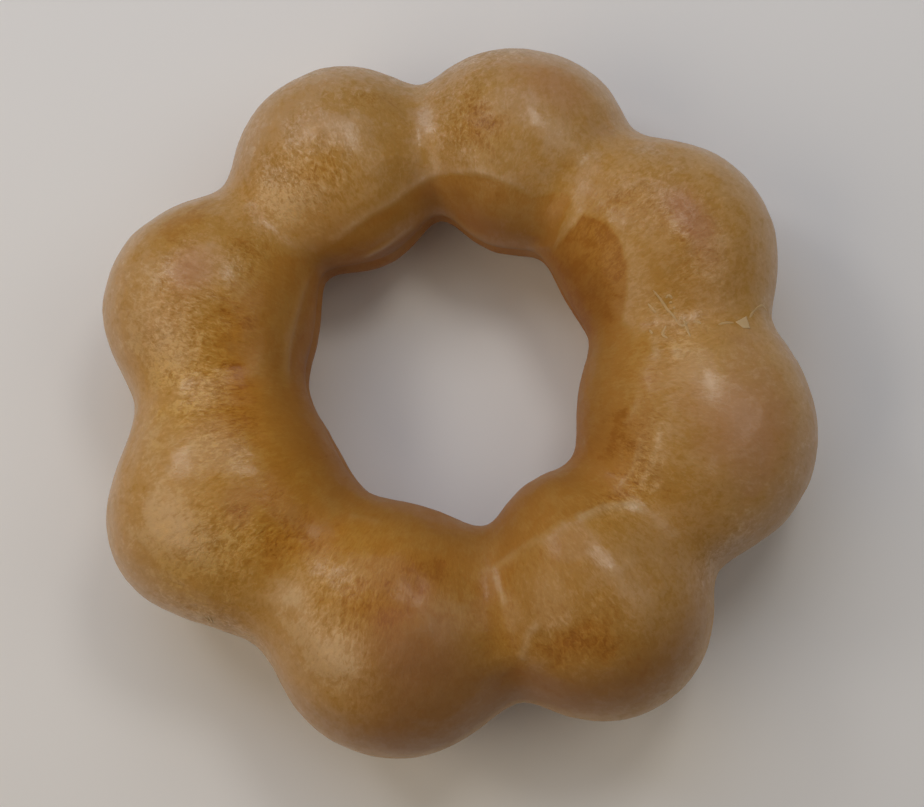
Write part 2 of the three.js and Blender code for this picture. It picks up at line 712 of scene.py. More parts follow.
    def add_nearness(self, shape: Node) -> Node:
        """Add up every ball's nearness at the probe of each vertex.

        Args:
            shape: The node that holds the grid.

        Returns:
            The node that holds the grid with its nearness.
        """
        tree = self.tree
        start, end = self.add_loop(shape, self.ball_count)
        info = add_node(tree, "GeometryNodeObjectInfo", {"Object": self.given["Balls"]})
        balls, ball = info.outputs["Geometry"], start.outputs["Iteration"]
        known = {
            name: self.sample(balls, self.named(name), ball)
            for name in ("width_way", "across", "along", "crown", "belly", "taper")
        }
        place = add_node(tree, "GeometryNodeInputPosition")
        known["centre"] = self.sample(balls, place, ball)
        self.work_out(
            known,
            ("offset", "vector -", "probe", "centre"),
            ("length_way", "cross", UPWARDS, "width_way"),
            ("wide", "dot", "offset", "width_way"),
            ("long", "dot", "offset", "length_way"),
            ("rise", "dot", "offset", UPWARDS),
            # The offset, in shares of the half width, of the tapered half length and of the height.
            ("out", "/", "wide", "across"),
            ("limited", "limited", "out", -self.taper_limit, self.taper_limit),
            ("lost", "*", "limited", "taper"),
            ("left", "-", 1.0, "lost"),
            ("length", "*", "left", "along"),
            ("round", "/", "long", "length"),
            ("above", ">", "rise", 0.0),
            ("height", "if", "above", "belly", "crown"),
            ("up", "/", "rise", "height"),
            ("shares", "vector", "out", "round", "up"),
            # The distance from the ball's skin, measured on the line through the ball's centre.
            ("stretch", "length", "shares"),
            ("safe", "most", "stretch", TINY),
            ("within", "/", 1.0, "safe"),
            ("beyond", "-", 1.0, "within"),
            ("span", "length", "offset"),
            ("distance", "*", "span", "beyond"),
            ("in_bonds", "/", "distance", "bond"),
            ("inwards", "*", "in_bonds", -1.0),
            ("near", "exp", "inwards"),
            ("total", "+", "nearness", "near"),
        )
        summed = self.store(start.outputs["Geometry"], "nearness", known["total"])
        tree.links.new(summed.outputs["Geometry"], end.inputs["Geometry"])
        return end

    def add_skin(self, searched: Node) -> Node:
        """Move each vertex out to the skin, with its fold and flat spots, and close the seams.

        Args:
            searched: The node that holds the searched grid.

        Returns:
            The node that holds the closed skin.
        """
        known = self.work_out(
            {},
            ("way_up", "dot", "way", UPWARDS),
            ("core_up", "dot", "core", UPWARDS),
            # The fold: deepest at the waist, and gone a little above and below it.
            ("outwards", "cos", "tilt"),
            ("deepest", "mapped", "outwards", 1.0, -1.0, "Fold Outside", "Fold Inside"),
            ("rise", "*", "low", "way_up"),
            ("share", "/", "rise", "Fold Reach"),
            ("square", "*", "share", "share"),
            ("minus", "*", "square", -1.0),
            ("bell", "exp", "minus"),
            ("depth", "*", "deepest", "bell"),
            ("folded", "-", "low", "depth"),
            # Where the skin would reach below the floor, it stops at the floor on its way out.
            ("falling", "least", "way_up", -TINY),
            ("to_floor", "/", "core_up", "falling"),
            ("limit", "*", "to_floor", -1.0),
            ("stopped", "least", "folded", "limit"),
            ("downwards", "<", "way_up", 0.0),
            ("reach", "if", "downwards", "folded", "stopped"),
            ("out", "scaled", "way", "reach"),
            ("point", "vector +", "core", "out"),
        )
        placed = {"Geometry": searched, "Position": known["point"]}
        moved = add_node(self.tree, "GeometryNodeSetPosition", placed)
        closed = {"Geometry": moved, "Distance": self.weld}
        return add_node(self.tree, "GeometryNodeMergeByDistance", closed)

    def add_unevenness(self, shape: Node, name: str) -> Node:
        """Raise and lower the skin by noise, less and less towards the flat spots it rests on.

        Args:
            shape: The node that holds the skin.
            name: The input that gives the noise's height. The attribute of that name in lower
                case keeps the noise, from -0.5 to 0.5.

        Returns:
            The node that holds the uneven skin.
        """
        tree = self.tree
        known = {
            "place": add_node(tree, "GeometryNodeInputPosition"),
            "normal": add_node(tree, "GeometryNodeInputNormal"),
        }
        self.work_out(known, ("frequency", "/", 1.0, f"{name} Size"))
        detail, roughness, distortion = self.rough
        known["noise"] = add_node(
            tree,
            "ShaderNodeTexNoise",
            {
                "Vector": known["place"],
                "W": self.given["Seed"],
                "Scale": known["frequency"],
                "Detail": detail,
                "Roughness": roughness,
                "Distortion": distortion,
            },
            noise_dimensions="4D",
        )
        self.work_out(
            known,
            ("centred", "-", "noise", 0.5),
            ("height", "dot", "place", UPWARDS),
            ("lifted", "eased", "height", 0.0, self.resting, 0.0, 1.0),
            ("amount", "*", name.lower(), "lifted"),
            ("rise", "*", "amount", name),
            ("offset", "scaled", "normal", "rise"),
        )
        raised = {
            "Geometry": self.store(shape, name.lower(), known["centred"]),
            "Offset": known["offset"],
        }
        return add_node(tree, "GeometryNodeSetPosition", raised)


# ---- The glaze ----------------------------------------------------------------------------------


class Skin:
    """The vertices of the dough's skin, in rows round the ring and columns round its section.

    Attributes:
        mesh: The skin's mesh.
        shape: How many rows and columns there are.
        grid: The vertices' indices, by row and column.
        turns: Each vertex's turn, in degrees.
        tilts: Its tilt, in degrees.
        points: Its place, in millimetres.
        normals: The way out of the skin there.
    """

    # How far above the surface it lies on the skin is free to move, in millimetres.
    RESTING: ClassVar[float] = 2.0

    def __init__(self, piece: Object, dough: DoughRing) -> None:
        """Read the skin.

        Args:
            piece: The skin's object.
            dough: The dough it was grown from.
        """
        self.mesh = piece.data
        turns, tilts = self.value("turn"), self.value("tilt")
        self.shape = (dough.ring_steps, dough.section_steps)
        self.grid = np.lexsort((tilts, turns)).reshape(self.shape)
        self.turns, self.tilts = np.degrees(turns), np.degrees(tilts)
        self.points = read_vectors(self.mesh.vertices, "co") / MM
        self.normals = read_vectors(self.mesh.vertices, "normal")

    def value(self, name: str) -> np.ndarray:
        """Read one of the skin's attributes.

        Args:
            name: The attribute's name.

        Returns:
            Its value at each vertex.
        """
        values = np.empty(len(self.mesh.vertices))
        self.mesh.attributes[name].data.foreach_get("value", values)
        return values

    def grain(self, ring: float, section: float, stretch: float) -> np.ndarray:
        """Work out the coordinates in which the crust's grain is even, and runs across the ring.

        Args:
            ring: The ring's radius, in millimetres.
            section: The section's radius.
            stretch: How many times longer the grain is across the ring than round it.

        Returns:
            The coordinates of each vertex, in metres.
        """
        turns, tilts = np.radians(self.turns), np.radians(self.tilts)
        across = section * np.minimum(tilts, 2.0 * np.pi - tilts) / stretch
        return np.column_stack([ring * np.cos(turns), ring * np.sin(turns), across]) * MM

    def at(self, turn: np.ndarray, tilt: np.ndarray) -> tuple[np.ndarray, np.ndarray]:
        """Find places on the skin.

        Args:
            turn: Each place's turn, in degrees.
            tilt: Its tilt, in degrees.

        Returns:
            Each place's point and its normal, between the four vertices round it.
        """
        row = np.asarray(turn) / 360.0 * self.shape[0]
        column = np.asarray(tilt) / 360.0 * self.shape[1]
        low_row, low_column = np.floor(row).astype(int), np.floor(column).astype(int)
        point, normal = np.zeros((2, len(row), 3))
        for i, share_i in ((0, 1 - (row - low_row)), (1, row - low_row)):
            for j, share_j in ((0, 1 - (column - low_column)), (1, column - low_column)):
                rows, columns = (low_row + i) % self.shape[0], (low_column + j) % self.shape[1]
                corner = self.grid[rows, columns]
                share = (share_i * share_j)[:, None]
                point += self.points[corner] * share
                normal += self.normals[corner] * share
        return point, normal / np.linalg.norm(normal, axis=1)[:, None]

    def raise_by(self, heights: np.ndarray) -> None:
        """Move each vertex out, but not through the surface that the doughnut lies on.

        Args:
            heights: Each vertex's height, in millimetres.
        """
        free = smooth_step(self.points[:, 2], 0.0, self.RESTING)
        self.points += self.normals * (heights * free)[:, None]
        self.points[:, 2] = np.maximum(self.points[:, 2], 0.0)
        self.mesh.vertices.foreach_set("co", (self.points * MM).ravel())
        self.mesh.update()
        self.normals = read_vectors(self.mesh.vertices, "normal")


def follow(skin: Skin, path: Path, step: float) -> tuple[np.ndarray, np.ndarray]:
    """Follow a path over the skin.

    Args:
        skin: The skin.
        path: The turn and tilt of each point that it goes through.
        step: The distance between points, in millimetres.

    Returns:
        The points along a smooth curve through the path, and the skin's normals there.
    """
    # About how long a degree of turn and a degree of tilt are on top of the ring, in millimetres.
    degrees = (0.5, 0.24)
    marks = np.array(path, dtype=float)
    marks = np.vstack([2 * marks[0] - marks[1], marks, 2 * marks[-1] - marks[-2]])
    pieces = []
    for before, start, end, after in zip(marks, marks[1:], marks[2:], marks[3:]):
        length = np.linalg.norm((end - start) * degrees)
        share = np.linspace(0, 1, max(int(length / step), 1), endpoint=False)[:, None]
        bend = 2 * before - 5 * start + 4 * end - after
        twist = 3 * start - before - 3 * end + after
        doubled = 2 * start + (end - before) * share + bend * share**2 + twist * share**3
        pieces.append(doubled / 2.0)
    line = np.vstack(pieces + [marks[-2:-1]])
    return skin.at(line[:, 0], line[:, 1])


class Tone(Enum):
    """What a patch does to the skin's look: the attribute that it works on, and which way."""

    WORN = ("film", -1.0)
    THICK = ("film", 1.0)
    BLUSHED_AND_REFLECTING = ("blush_and_reflection", 1.0)
    BROWNED_AND_SHADED = ("browning_and_shade", 1.0)
    WRINKLED = ("wrinkle", 1.0)
    SMOOTH = ("wrinkle", -1.0)
    GOLDEN = ("warmth", 1.0)
    GREYED = ("warmth", -1.0)


@dataclass(frozen=True)
class Patch:
    """A soft, ragged patch of the skin. Angles and sizes are in degrees of turn and tilt.

    Attributes:
        turn: Where its middle is, round the ring.
        tilt: Where its middle is, round the section.
        wide: Its reach from the middle, round the ring.
        high: Its reach from the middle, round the section.
        strength: How strong it is in the middle.
        tone: What it does.
    """

    turn: float
    tilt: float
    wide: float
    high: float
    strength: float
    tone: Tone


def patches_of(tone: Tone, *rows: tuple[float, ...]) -> tuple[Patch, ...]:
    """Make patches of one tone, each from its turn, tilt, wide, high and strength."""
    return tuple(Patch(*row, tone) for row in rows)


@dataclass(frozen=True)
class Shore:
    """Where the glaze of the top ends, on its way down into the hole, at one turn of the ring.

    Attributes:
        turn: The turn, in degrees.
        tilt: The tilt where it ends, in degrees.
        soft: Half the stretch over which it thins out, in degrees.
        below: The film past it.
    """

    turn: float
    tilt: float
    soft: float
    below: float


@dataclass(frozen=True)
class Band:
    """A band round the whole ring in which an attribute is higher or lower.

    Attributes:
        start: The tilt where it starts, in degrees.
        full: Where it reaches its full strength.
        fading: Where that begins to fade, past 360 for a band that goes through 0.
        end: Where it ends.
        strength: What it adds where it is full.
    """

    start: float
    full: float
    fading: float
    end: float
    strength: float

    def on(self, tilts: np.ndarray) -> np.ndarray:
        """Return what the band adds at each tilt."""
        past = (tilts - self.start) % 360.0
        rise = smooth_step(past, 0.0, self.full - self.start)
        fall = smooth_step(past, self.end - self.start, self.fading - self.start)
        return self.strength * rise * fall


@dataclass(frozen=True)
class Edge:
    """A raised line in the glaze, where it ran together or where it ends.

    Lengths are in millimetres.

    Attributes:
        path: The turn and tilt of each point that it goes through.
        height: Its height above the skin round it.
        gentle: Its reach on the side where the glaze lies thick.
        steep: Its reach on the other side.
        film: How much paler it is.
        left: Whether the steep side is on the left of the path.
        spacing: The distance between the points that it is measured from.
        fade: The share of its length over which it thins out at each end.
        facing: The least cosine between its normal and that of the skin that it shapes.
        mean: Its mean share of its height.
        uneven: How much the fine and the slow unevenness add to that.
        limits: The least and the greatest share that this leaves.
    """

    path: Path
    height: float
    gentle: float = 0.8
    steep: float = 0.45
    film: float = 0.3
    left: bool = True
    spacing: float = 0.25
    fade: float = 0.18
    facing: float = 0.3
    mean: float = 0.85
    uneven: tuple[float, float] = (2.0, 1.2)
    limits: tuple[float, float] = (0.1, 1.4)

    def profile(self, skin: Skin) -> np.ndarray:
        """Work out the line's share of its full height.

        Args:
            skin: The skin that it lies on.

        Returns:
            The share at each vertex of the skin.
        """
        points, normals = follow(skin, self.path, self.spacing)
        lefts = np.cross(normals, np.gradient(points, axis=0))
        # Three reaches away, nothing is left of the line.
        reach = 3.0 * max(self.gentle, self.steep)
        low, high = points.min(axis=0) - reach, points.max(axis=0) + reach
        near = np.nonzero(((skin.points > low) & (skin.points < high)).all(axis=1))[0]
        offsets = skin.points[near][:, None, :] - points[None, :, :]
        distances = np.linalg.norm(offsets, axis=2)
        nearest = distances.argmin(axis=1)
        rows = np.arange(len(near))
        distance = distances[rows, nearest]
        side = (offsets[rows, nearest] * lefts[nearest]).sum(axis=1)
        steep = side > 0 if self.left else side < 0
        facing = (skin.normals[near] * normals[nearest]).sum(axis=1) > self.facing
        # The line comes and goes along itself, and thins out at both ends.
        run = np.arange(len(points)) / max(len(points) - 1, 1)
        fade = smooth_step(run, 0.0, self.fade) * smooth_step(1.0 - run, 0.0, self.fade)
        ripple, sway = skin.value("ripple")[near], skin.value("sway")[near]
        broken = self.mean + self.uneven[0] * ripple + self.uneven[1] * sway
        broken = np.clip(broken, *self.limits)
        width = np.where(steep, self.steep, self.gentle)
        share = np.zeros(len(skin.points))
        share[near] = np.exp(-((distance / width) ** 2)) * fade[nearest] * broken * facing
        return share


def edge(height: float, *path: tuple[float, float], **shape: float | bool) -> Edge:
    """Name an edge by its height and its points, with anything else that shapes it."""
    return Edge(path=path, height=height, **shape)


SHORES = tuple(
    Shore(*row)
    for row in (
        (0, 120, 10, 0.34), (10, 124, 9, 0.34), (19, 138, 5, 0.2), (26, 126, 2.5, 0.1),
        (32, 119, 2, 0.1), (40, 114.5, 1.5, 0.12), (47, 116, 1.5, 0.12), (51, 122, 2, 0.12),
        (53.5, 158, 5, 0.14), (56.5, 118, 2, 0.26), (61, 122, 2, 0.26), (66, 129, 2.5, 0.26),
        (72, 126, 2.5, 0.26), (80, 124, 2, 0.22), (87, 127, 2, 0.2), (93, 132, 2, 0.2),
        (98, 136, 2, 0.22), (106, 138, 2, 0.22), (115, 138, 2, 0.22), (122, 141, 3, 0.22),
        (128, 147, 4, 0.22), (134, 150, 7, 0.24), (142, 126, 14, 0.24), (152, 120, 14, 0.26),
        (160, 112, 12, 0.26), (170, 110, 12, 0.28), (180, 114, 12, 0.3), (190, 112, 10, 0.3),
        (200, 122, 8, 0.3), (210, 122, 10, 0.32), (216, 112, 10, 0.34), (222, 102, 14, 0.36),
        (228, 98, 12, 0.36), (234, 112, 8, 0.36), (244, 119, 12, 0.42), (255, 119, 14, 0.4),
        (270, 117, 14, 0.38), (280, 130, 4, 0.36), (290, 130, 2, 0.36), (300, 125, 2, 0.38),
        (310, 122, 2, 0.38), (318, 120, 2, 0.36), (325, 116, 3, 0.34), (331, 118, 8, 0.34),
        (340, 117, 10, 0.34), (350, 119, 10, 0.34),
    )
)

PATCHES = (
    # Where the film wore off or dried thin.
    *patches_of(
        Tone.WORN,
        (20, 70, 6, 14, 0.12), (31, 76, 5, 7, 0.24), (24, 110, 5, 6, 0.1), (48, 104, 9, 12, 0.16),
        (61, 100, 4, 12, 0.12), (16, 120, 8, 8, 0.14), (52, 114, 4, 9, 0.16),
        (83, 98, 7, 15, 0.36), (84, 76, 5, 14, 0.12), (97, 146, 4, 10, 0.08),
        (103, 82, 4, 34, 0.18), (122, 103, 6, 10, 0.2), (129, 69, 5, 11, 0.12),
        (110, 70, 5, 8, 0.12), (149, 62, 8, 16, 0.38), (166, 111, 8, 9, 0.2),
        (146, 100, 4.5, 16, 0.22), (226, 90, 6, 36, 0.2), (190, 117, 8, 8, 0.12),
        (190, 50, 8, 10, 0.14), (250, 99, 11, 9, 0.3), (298, 71, 8, 9, 0.42),
        (287, 76, 3, 7, 0.12), (334, 92, 4, 12, 0.16), (346, 131, 5, 6, 0.22),
        (212, 116, 7, 8, 0.14), (335, 141, 6, 6, 0.12), (282, 110, 36, 24, 0.2),
        # The worn patch at 285 degrees, tilt 34, also paints shade low on the outside.
        (280, 92, 7, 14, 0.14), (285, 34, 26, 16, 0.22), (35, 88, 9, 9, 0.16),
        (352, 112, 14, 9, 0.12), (184, 126, 8, 6, 0.06), (230, 124, 10, 8, 0.12),
        (262, 112, 8, 14, 0.14), (335, 117, 14, 12, 0.16), (284, 96, 16, 20, 0.05),
        (80, 114, 5, 8, 0.1), (30, 86, 6, 8, 0.1), (42, 96, 6, 8, 0.08), (146, 116, 8, 8, 0.1),
        (210, 116, 6, 7, 0.1), (281, 120, 10, 12, 0.1), (252, 88, 8, 8, 0.07),
        (256, 110, 8, 9, 0.07), (296, 50, 12, 12, 0.06), (304, 116, 9, 7, 0.09),
        (1, 110, 8, 8, 0.08), (80, 92, 6, 12, 0.08), (92, 116, 22, 7, 0.07), (50, 117, 9, 6, 0.07),
        (178, 126, 5, 5, 0.14), (186, 129, 10, 6, 0.05), (289, 126, 5, 7, 0.08),
        (281.5, 118, 3, 8, 0.12), (263, 120, 8, 14, 0.06),
    ),
    # Where it lies thick, and painted light: the small patches on the crowns and in the neck at 95
    # degrees paint highlights, and those low on the wall of the hole paint light thrown up from the
    # floor, over paler glaze.
    *patches_of(
        Tone.THICK,
        (59, 109, 2, 4, 0.12), (40, 84, 3, 6, 0.1), (5, 97, 6, 13, 0.16), (66, 92, 5, 20, 0.1),
        (95.5, 82, 1.8, 16, 0.2), (80, 158, 10, 8, 0.12), (90, 166, 30, 6, 0.12),
        (110, 157, 8, 6, 0.12), (113, 88, 6, 10, 0.2), (133, 96, 5, 24, 0.24),
        (128, 112, 5, 10, 0.2), (162, 73, 2.5, 4, 0.2), (153, 107, 2, 4, 0.25),
        (174, 80, 8, 24, 0.2), (160, 64, 6, 12, 0.12), (172, 114, 6, 6, 0.12),
        (205, 66, 4, 5, 0.18), (213, 76, 4, 6, 0.22), (198, 98, 4, 8, 0.18),
        (202, 110, 4, 6, 0.12), (190, 76, 8, 22, 0.1), (214, 62, 8, 20, 0.2),
        (236, 88, 4, 9, 0.22), (249, 68, 8, 12, 0.32), (240, 60, 8, 14, 0.1),
        (261, 104, 3.5, 5, 0.14), (308, 91, 5, 5, 0.16), (300, 108, 12, 9, 0.08),
        (356, 88, 5, 4, 0.22), (341, 78, 2, 3, 0.15), (350, 106, 12, 5, 0.12),
        (125, 151, 36, 13, 0.14), (68, 150, 12, 12, 0.12), (125, 66, 8, 12, 0.1),
        (165, 62, 7, 10, 0.1), (240, 75, 5, 9, 0.14), (346, 60, 9, 12, 0.1), (4, 75, 9, 16, 0.1),
        (218, 76, 22, 13, 0.1), (128, 52, 8, 14, 0.12), (352, 66, 14, 18, 0.08),
        (8, 156, 22, 8, 0.12), (112, 152, 34, 10, 0.1), (208, 70, 14, 9, 0.07),
        (240, 74, 5, 8, 0.08), (169, 64, 6, 9, 0.1), (112, 156, 9, 8, 0.12), (68, 156, 8, 8, 0.12),
        (160, 146, 8, 8, 0.12), (80, 168, 26, 5, 0.14), (330, 30, 9, 12, 0.14),
        (110, 155, 9, 7, 0.13), (64, 152, 8, 8, 0.1), (80, 167, 14, 6, 0.12),
        (75, 177, 32, 7, 0.2), (15, 154, 18, 7, 0.1), (215, 78, 30, 15, 0.05),
        (208, 52, 9, 9, 0.09), (74, 142, 13, 11, 0.14), (166, 152, 12, 4, 0.16),
    ),
    # Where the crust under it is pinkish, and painted reflection: the strong patches on the crowns
    # at
    # 71, 157 and 350 degrees paint the pinkish reflection of the lights in the glaze.
    *patches_of(
        Tone.BLUSHED_AND_REFLECTING,
        (33, 77, 7, 9, 0.9), (71, 58, 8, 20, 0.65), (80, 156, 9, 10, 0.6), (157, 88, 6, 13, 0.7),
        (212, 106, 5, 8, 0.5), (265, 86, 9, 22, 0.6), (350, 65, 10, 27, 0.85),
        (24, 80, 17, 34, 0.17), (213, 78, 9, 20, 0.14), (170, 82, 6, 20, 0.14),
        (325, 70, 9, 28, 0.1), (197, 110, 8, 8, 0.14), (258, 83, 6, 14, 0.22),
    ),
    # Where the crust is browner, and painted shade: the strong patches low on the outside from 255
    # to
    # 345 degrees paint shade on the side that little light reaches, and those low on the wall of
    # the hole paint its shade over a duller brown crust. The small ones at 33, 171 and 260 degrees
    # are the crust's own darker tone.
    *patches_of(
        Tone.BROWNED_AND_SHADED,
        (33, 76, 3, 5, 0.25), (34, 142, 6, 8, 0.2), (97, 148, 3.5, 12, 0.35),
        (88, 140, 3, 7, 0.25), (114, 169, 13, 5, 0.15), (165, 160, 20, 4, 0.12),
        (268, 62, 11, 32, 0.75), (276, 36, 14, 24, 0.8), (260, 28, 16, 16, 0.55),
        (300, 36, 24, 20, 0.68), (285, 50, 6, 22, 0.3), (340, 22, 18, 14, 0.3),
        (288, 80, 44, 62, 0.3), (260, 84, 6, 13, 0.12), (168, 176, 9, 8, 0.45),
        (110, 169, 12, 5, 0.35), (171, 120.7, 1.6, 2, 0.3),
    ),
    # Where the skin dried in fine wrinkles.
    *patches_of(
        Tone.WRINKLED,
        (31, 78, 12, 17, 0.5), (43, 92, 9, 16, 0.3), (38, 130, 14, 16, 0.06),
        (12, 107, 10, 13, 0.45), (86, 98, 9, 20, 0.5), (87, 68, 7, 16, 0.3),
        (121, 98, 9, 20, 0.62), (128, 78, 8, 13, 0.36), (111, 66, 7, 10, 0.45),
        (134, 94, 6, 18, 0.4), (168, 92, 12, 24, 0.68), (155, 76, 8, 10, 0.35),
        (149, 108, 8, 14, 0.45), (182, 108, 9, 13, 0.42), (198, 110, 9, 14, 0.4),
        (217, 82, 9, 20, 0.62), (222, 106, 7, 12, 0.35), (238, 108, 10, 12, 0.35),
        (247, 95, 12, 18, 0.4), (254, 72, 12, 16, 0.3), (296, 76, 12, 16, 0.4),
        (333, 111, 13, 12, 0.55), (324, 118, 7, 8, 0.4), (327, 38, 6, 14, 0.4),
        (112, 26, 18, 12, 0.5), (227, 32, 9, 13, 0.6), (86, 34, 10, 14, 0.4),
    ),
    # Where smooth glaze fills the wrinkles.
    *patches_of(
        Tone.SMOOTH,
        (118, 68, 9, 17, 0.35), (283, 118, 5, 9, 0.1),
    ),
    # Where the colour is warmer and more golden.
    *patches_of(
        Tone.GOLDEN,
        (198, 120, 36, 34, 0.5), (224, 52, 14, 38, 0.3), (279, 50, 20, 42, 0.36),
        (248, 118, 22, 24, 0.4), (316, 110, 18, 13, 0.3), (2, 100, 13, 18, 0.3),
        (182, 55, 10, 26, 0.25), (280, 72, 8, 30, 0.25), (221, 60, 7, 24, 0.25),
        (182, 126, 6, 12, 0.2), (214, 130, 11, 17, 0.25), (130, 108, 5, 34, 0.18),
    ),
    # Where the colour is greyer and bluer.
    *patches_of(
        Tone.GREYED,
        (86, 66, 28, 52, 0.45), (83, 130, 17, 30, 0.5), (126, 48, 26, 28, 0.42),
        (44, 66, 12, 22, 0.2), (80, 76, 30, 40, 0.1), (86, 132, 12, 30, 0.25),
        (153, 58, 10, 18, 0.25), (5, 140, 17, 16, 0.22), (290, 140, 9, 14, 0.28),
        (350, 108, 8, 32, 0.15), (350, 80, 12, 40, 0.18), (74, 142, 14, 14, 0.3),
    ),
)

EDGES = (
    # The long edge along the shoulder of the ball at 305 degrees, with what branches off it.
    edge(
        0.1, (280, 131), (286, 130), (292, 129), (300, 125), (308, 123), (314, 120.5),
        gentle=1.0, film=0.16,
    ),
    edge(
        0.16, (311, 121.5), (317, 120), (321, 119), (325, 112), (326.5, 100),
        gentle=0.7, film=0.4,
    ),
    edge(
        0.05, (284, 127), (284.4, 121), (284.9, 113), (285.6, 104),
        gentle=0.3, steep=0.3, film=0.24,
    ),
    edge(0.16, (285, 66), (287, 76), (289, 84), (292, 88), gentle=0.6, film=0.26, left=False),
    # Where the glaze of the top ends above the hole, and a run of it down into the hole.
    edge(
        0.08, (128, 145), (122, 140), (114, 137), (106, 137), (98, 135), (92, 130),
        gentle=0.6, film=0.2,
    ),
    edge(0.07, (90, 127), (84, 124), (77, 123), (70, 126), gentle=0.6, film=0.08),
    edge(
        0.1, (53, 118), (53.5, 138), (55, 152), (60, 163), (67, 173),
        gentle=0.5, film=0.06,
    ),
    edge(
        0.16, (125, 167), (118, 162), (108, 161), (102, 165),
        gentle=0.5, steep=0.35, film=0.35,
    ),
    edge(
        0.14, (140, 156), (150, 152), (165, 153), (180, 156),
        gentle=0.6, steep=0.35, film=0.2,
    ),
    edge(0.08, (233, 142), (240, 143), (247, 140), gentle=0.5, film=0.14),
    # Where the glaze stands in the neck at 95 degrees.
    edge(0.06, (95.5, 60), (95, 82), (94.5, 104), gentle=0.6, steep=0.6, film=0.12),
    # The wrinkles that fan out from the necks at 330 and 15 degrees.
    edge(
        0.08, (326, 123), (331, 121), (338, 118), (345, 117),
        gentle=0.45, steep=0.35, film=0.14,
    ),
    edge(0.07, (330, 112), (338, 109), (348, 107), gentle=0.45, steep=0.35, film=0.12),
    edge(0.06, (344, 129), (349, 124), (354, 121), gentle=0.4, steep=0.35, film=0.12),
    edge(0.08, (14, 121), (11, 117), (7, 116), (3, 113), gentle=0.5, steep=0.4, film=0.16),
    edge(0.07, (13, 112), (11, 112), (9, 108), (3, 103), gentle=0.5, steep=0.4, film=0.12),
    edge(0.06, (20, 118), (18, 115), (15, 116), gentle=0.5, steep=0.4, film=0.16),
)

# The least and the greatest strength of the patches of each tone that are scattered.
SCATTERED = {
    Tone.WORN: (0.08, 0.3),
    Tone.THICK: (0.06, 0.2),
    Tone.BROWNED_AND_SHADED: (0.1, 0.4),
    Tone.BLUSHED_AND_REFLECTING: (0.2, 0.6),
    Tone.WRINKLED: (0.25, 0.7),
    Tone.GOLDEN: (0.1, 0.4),
}


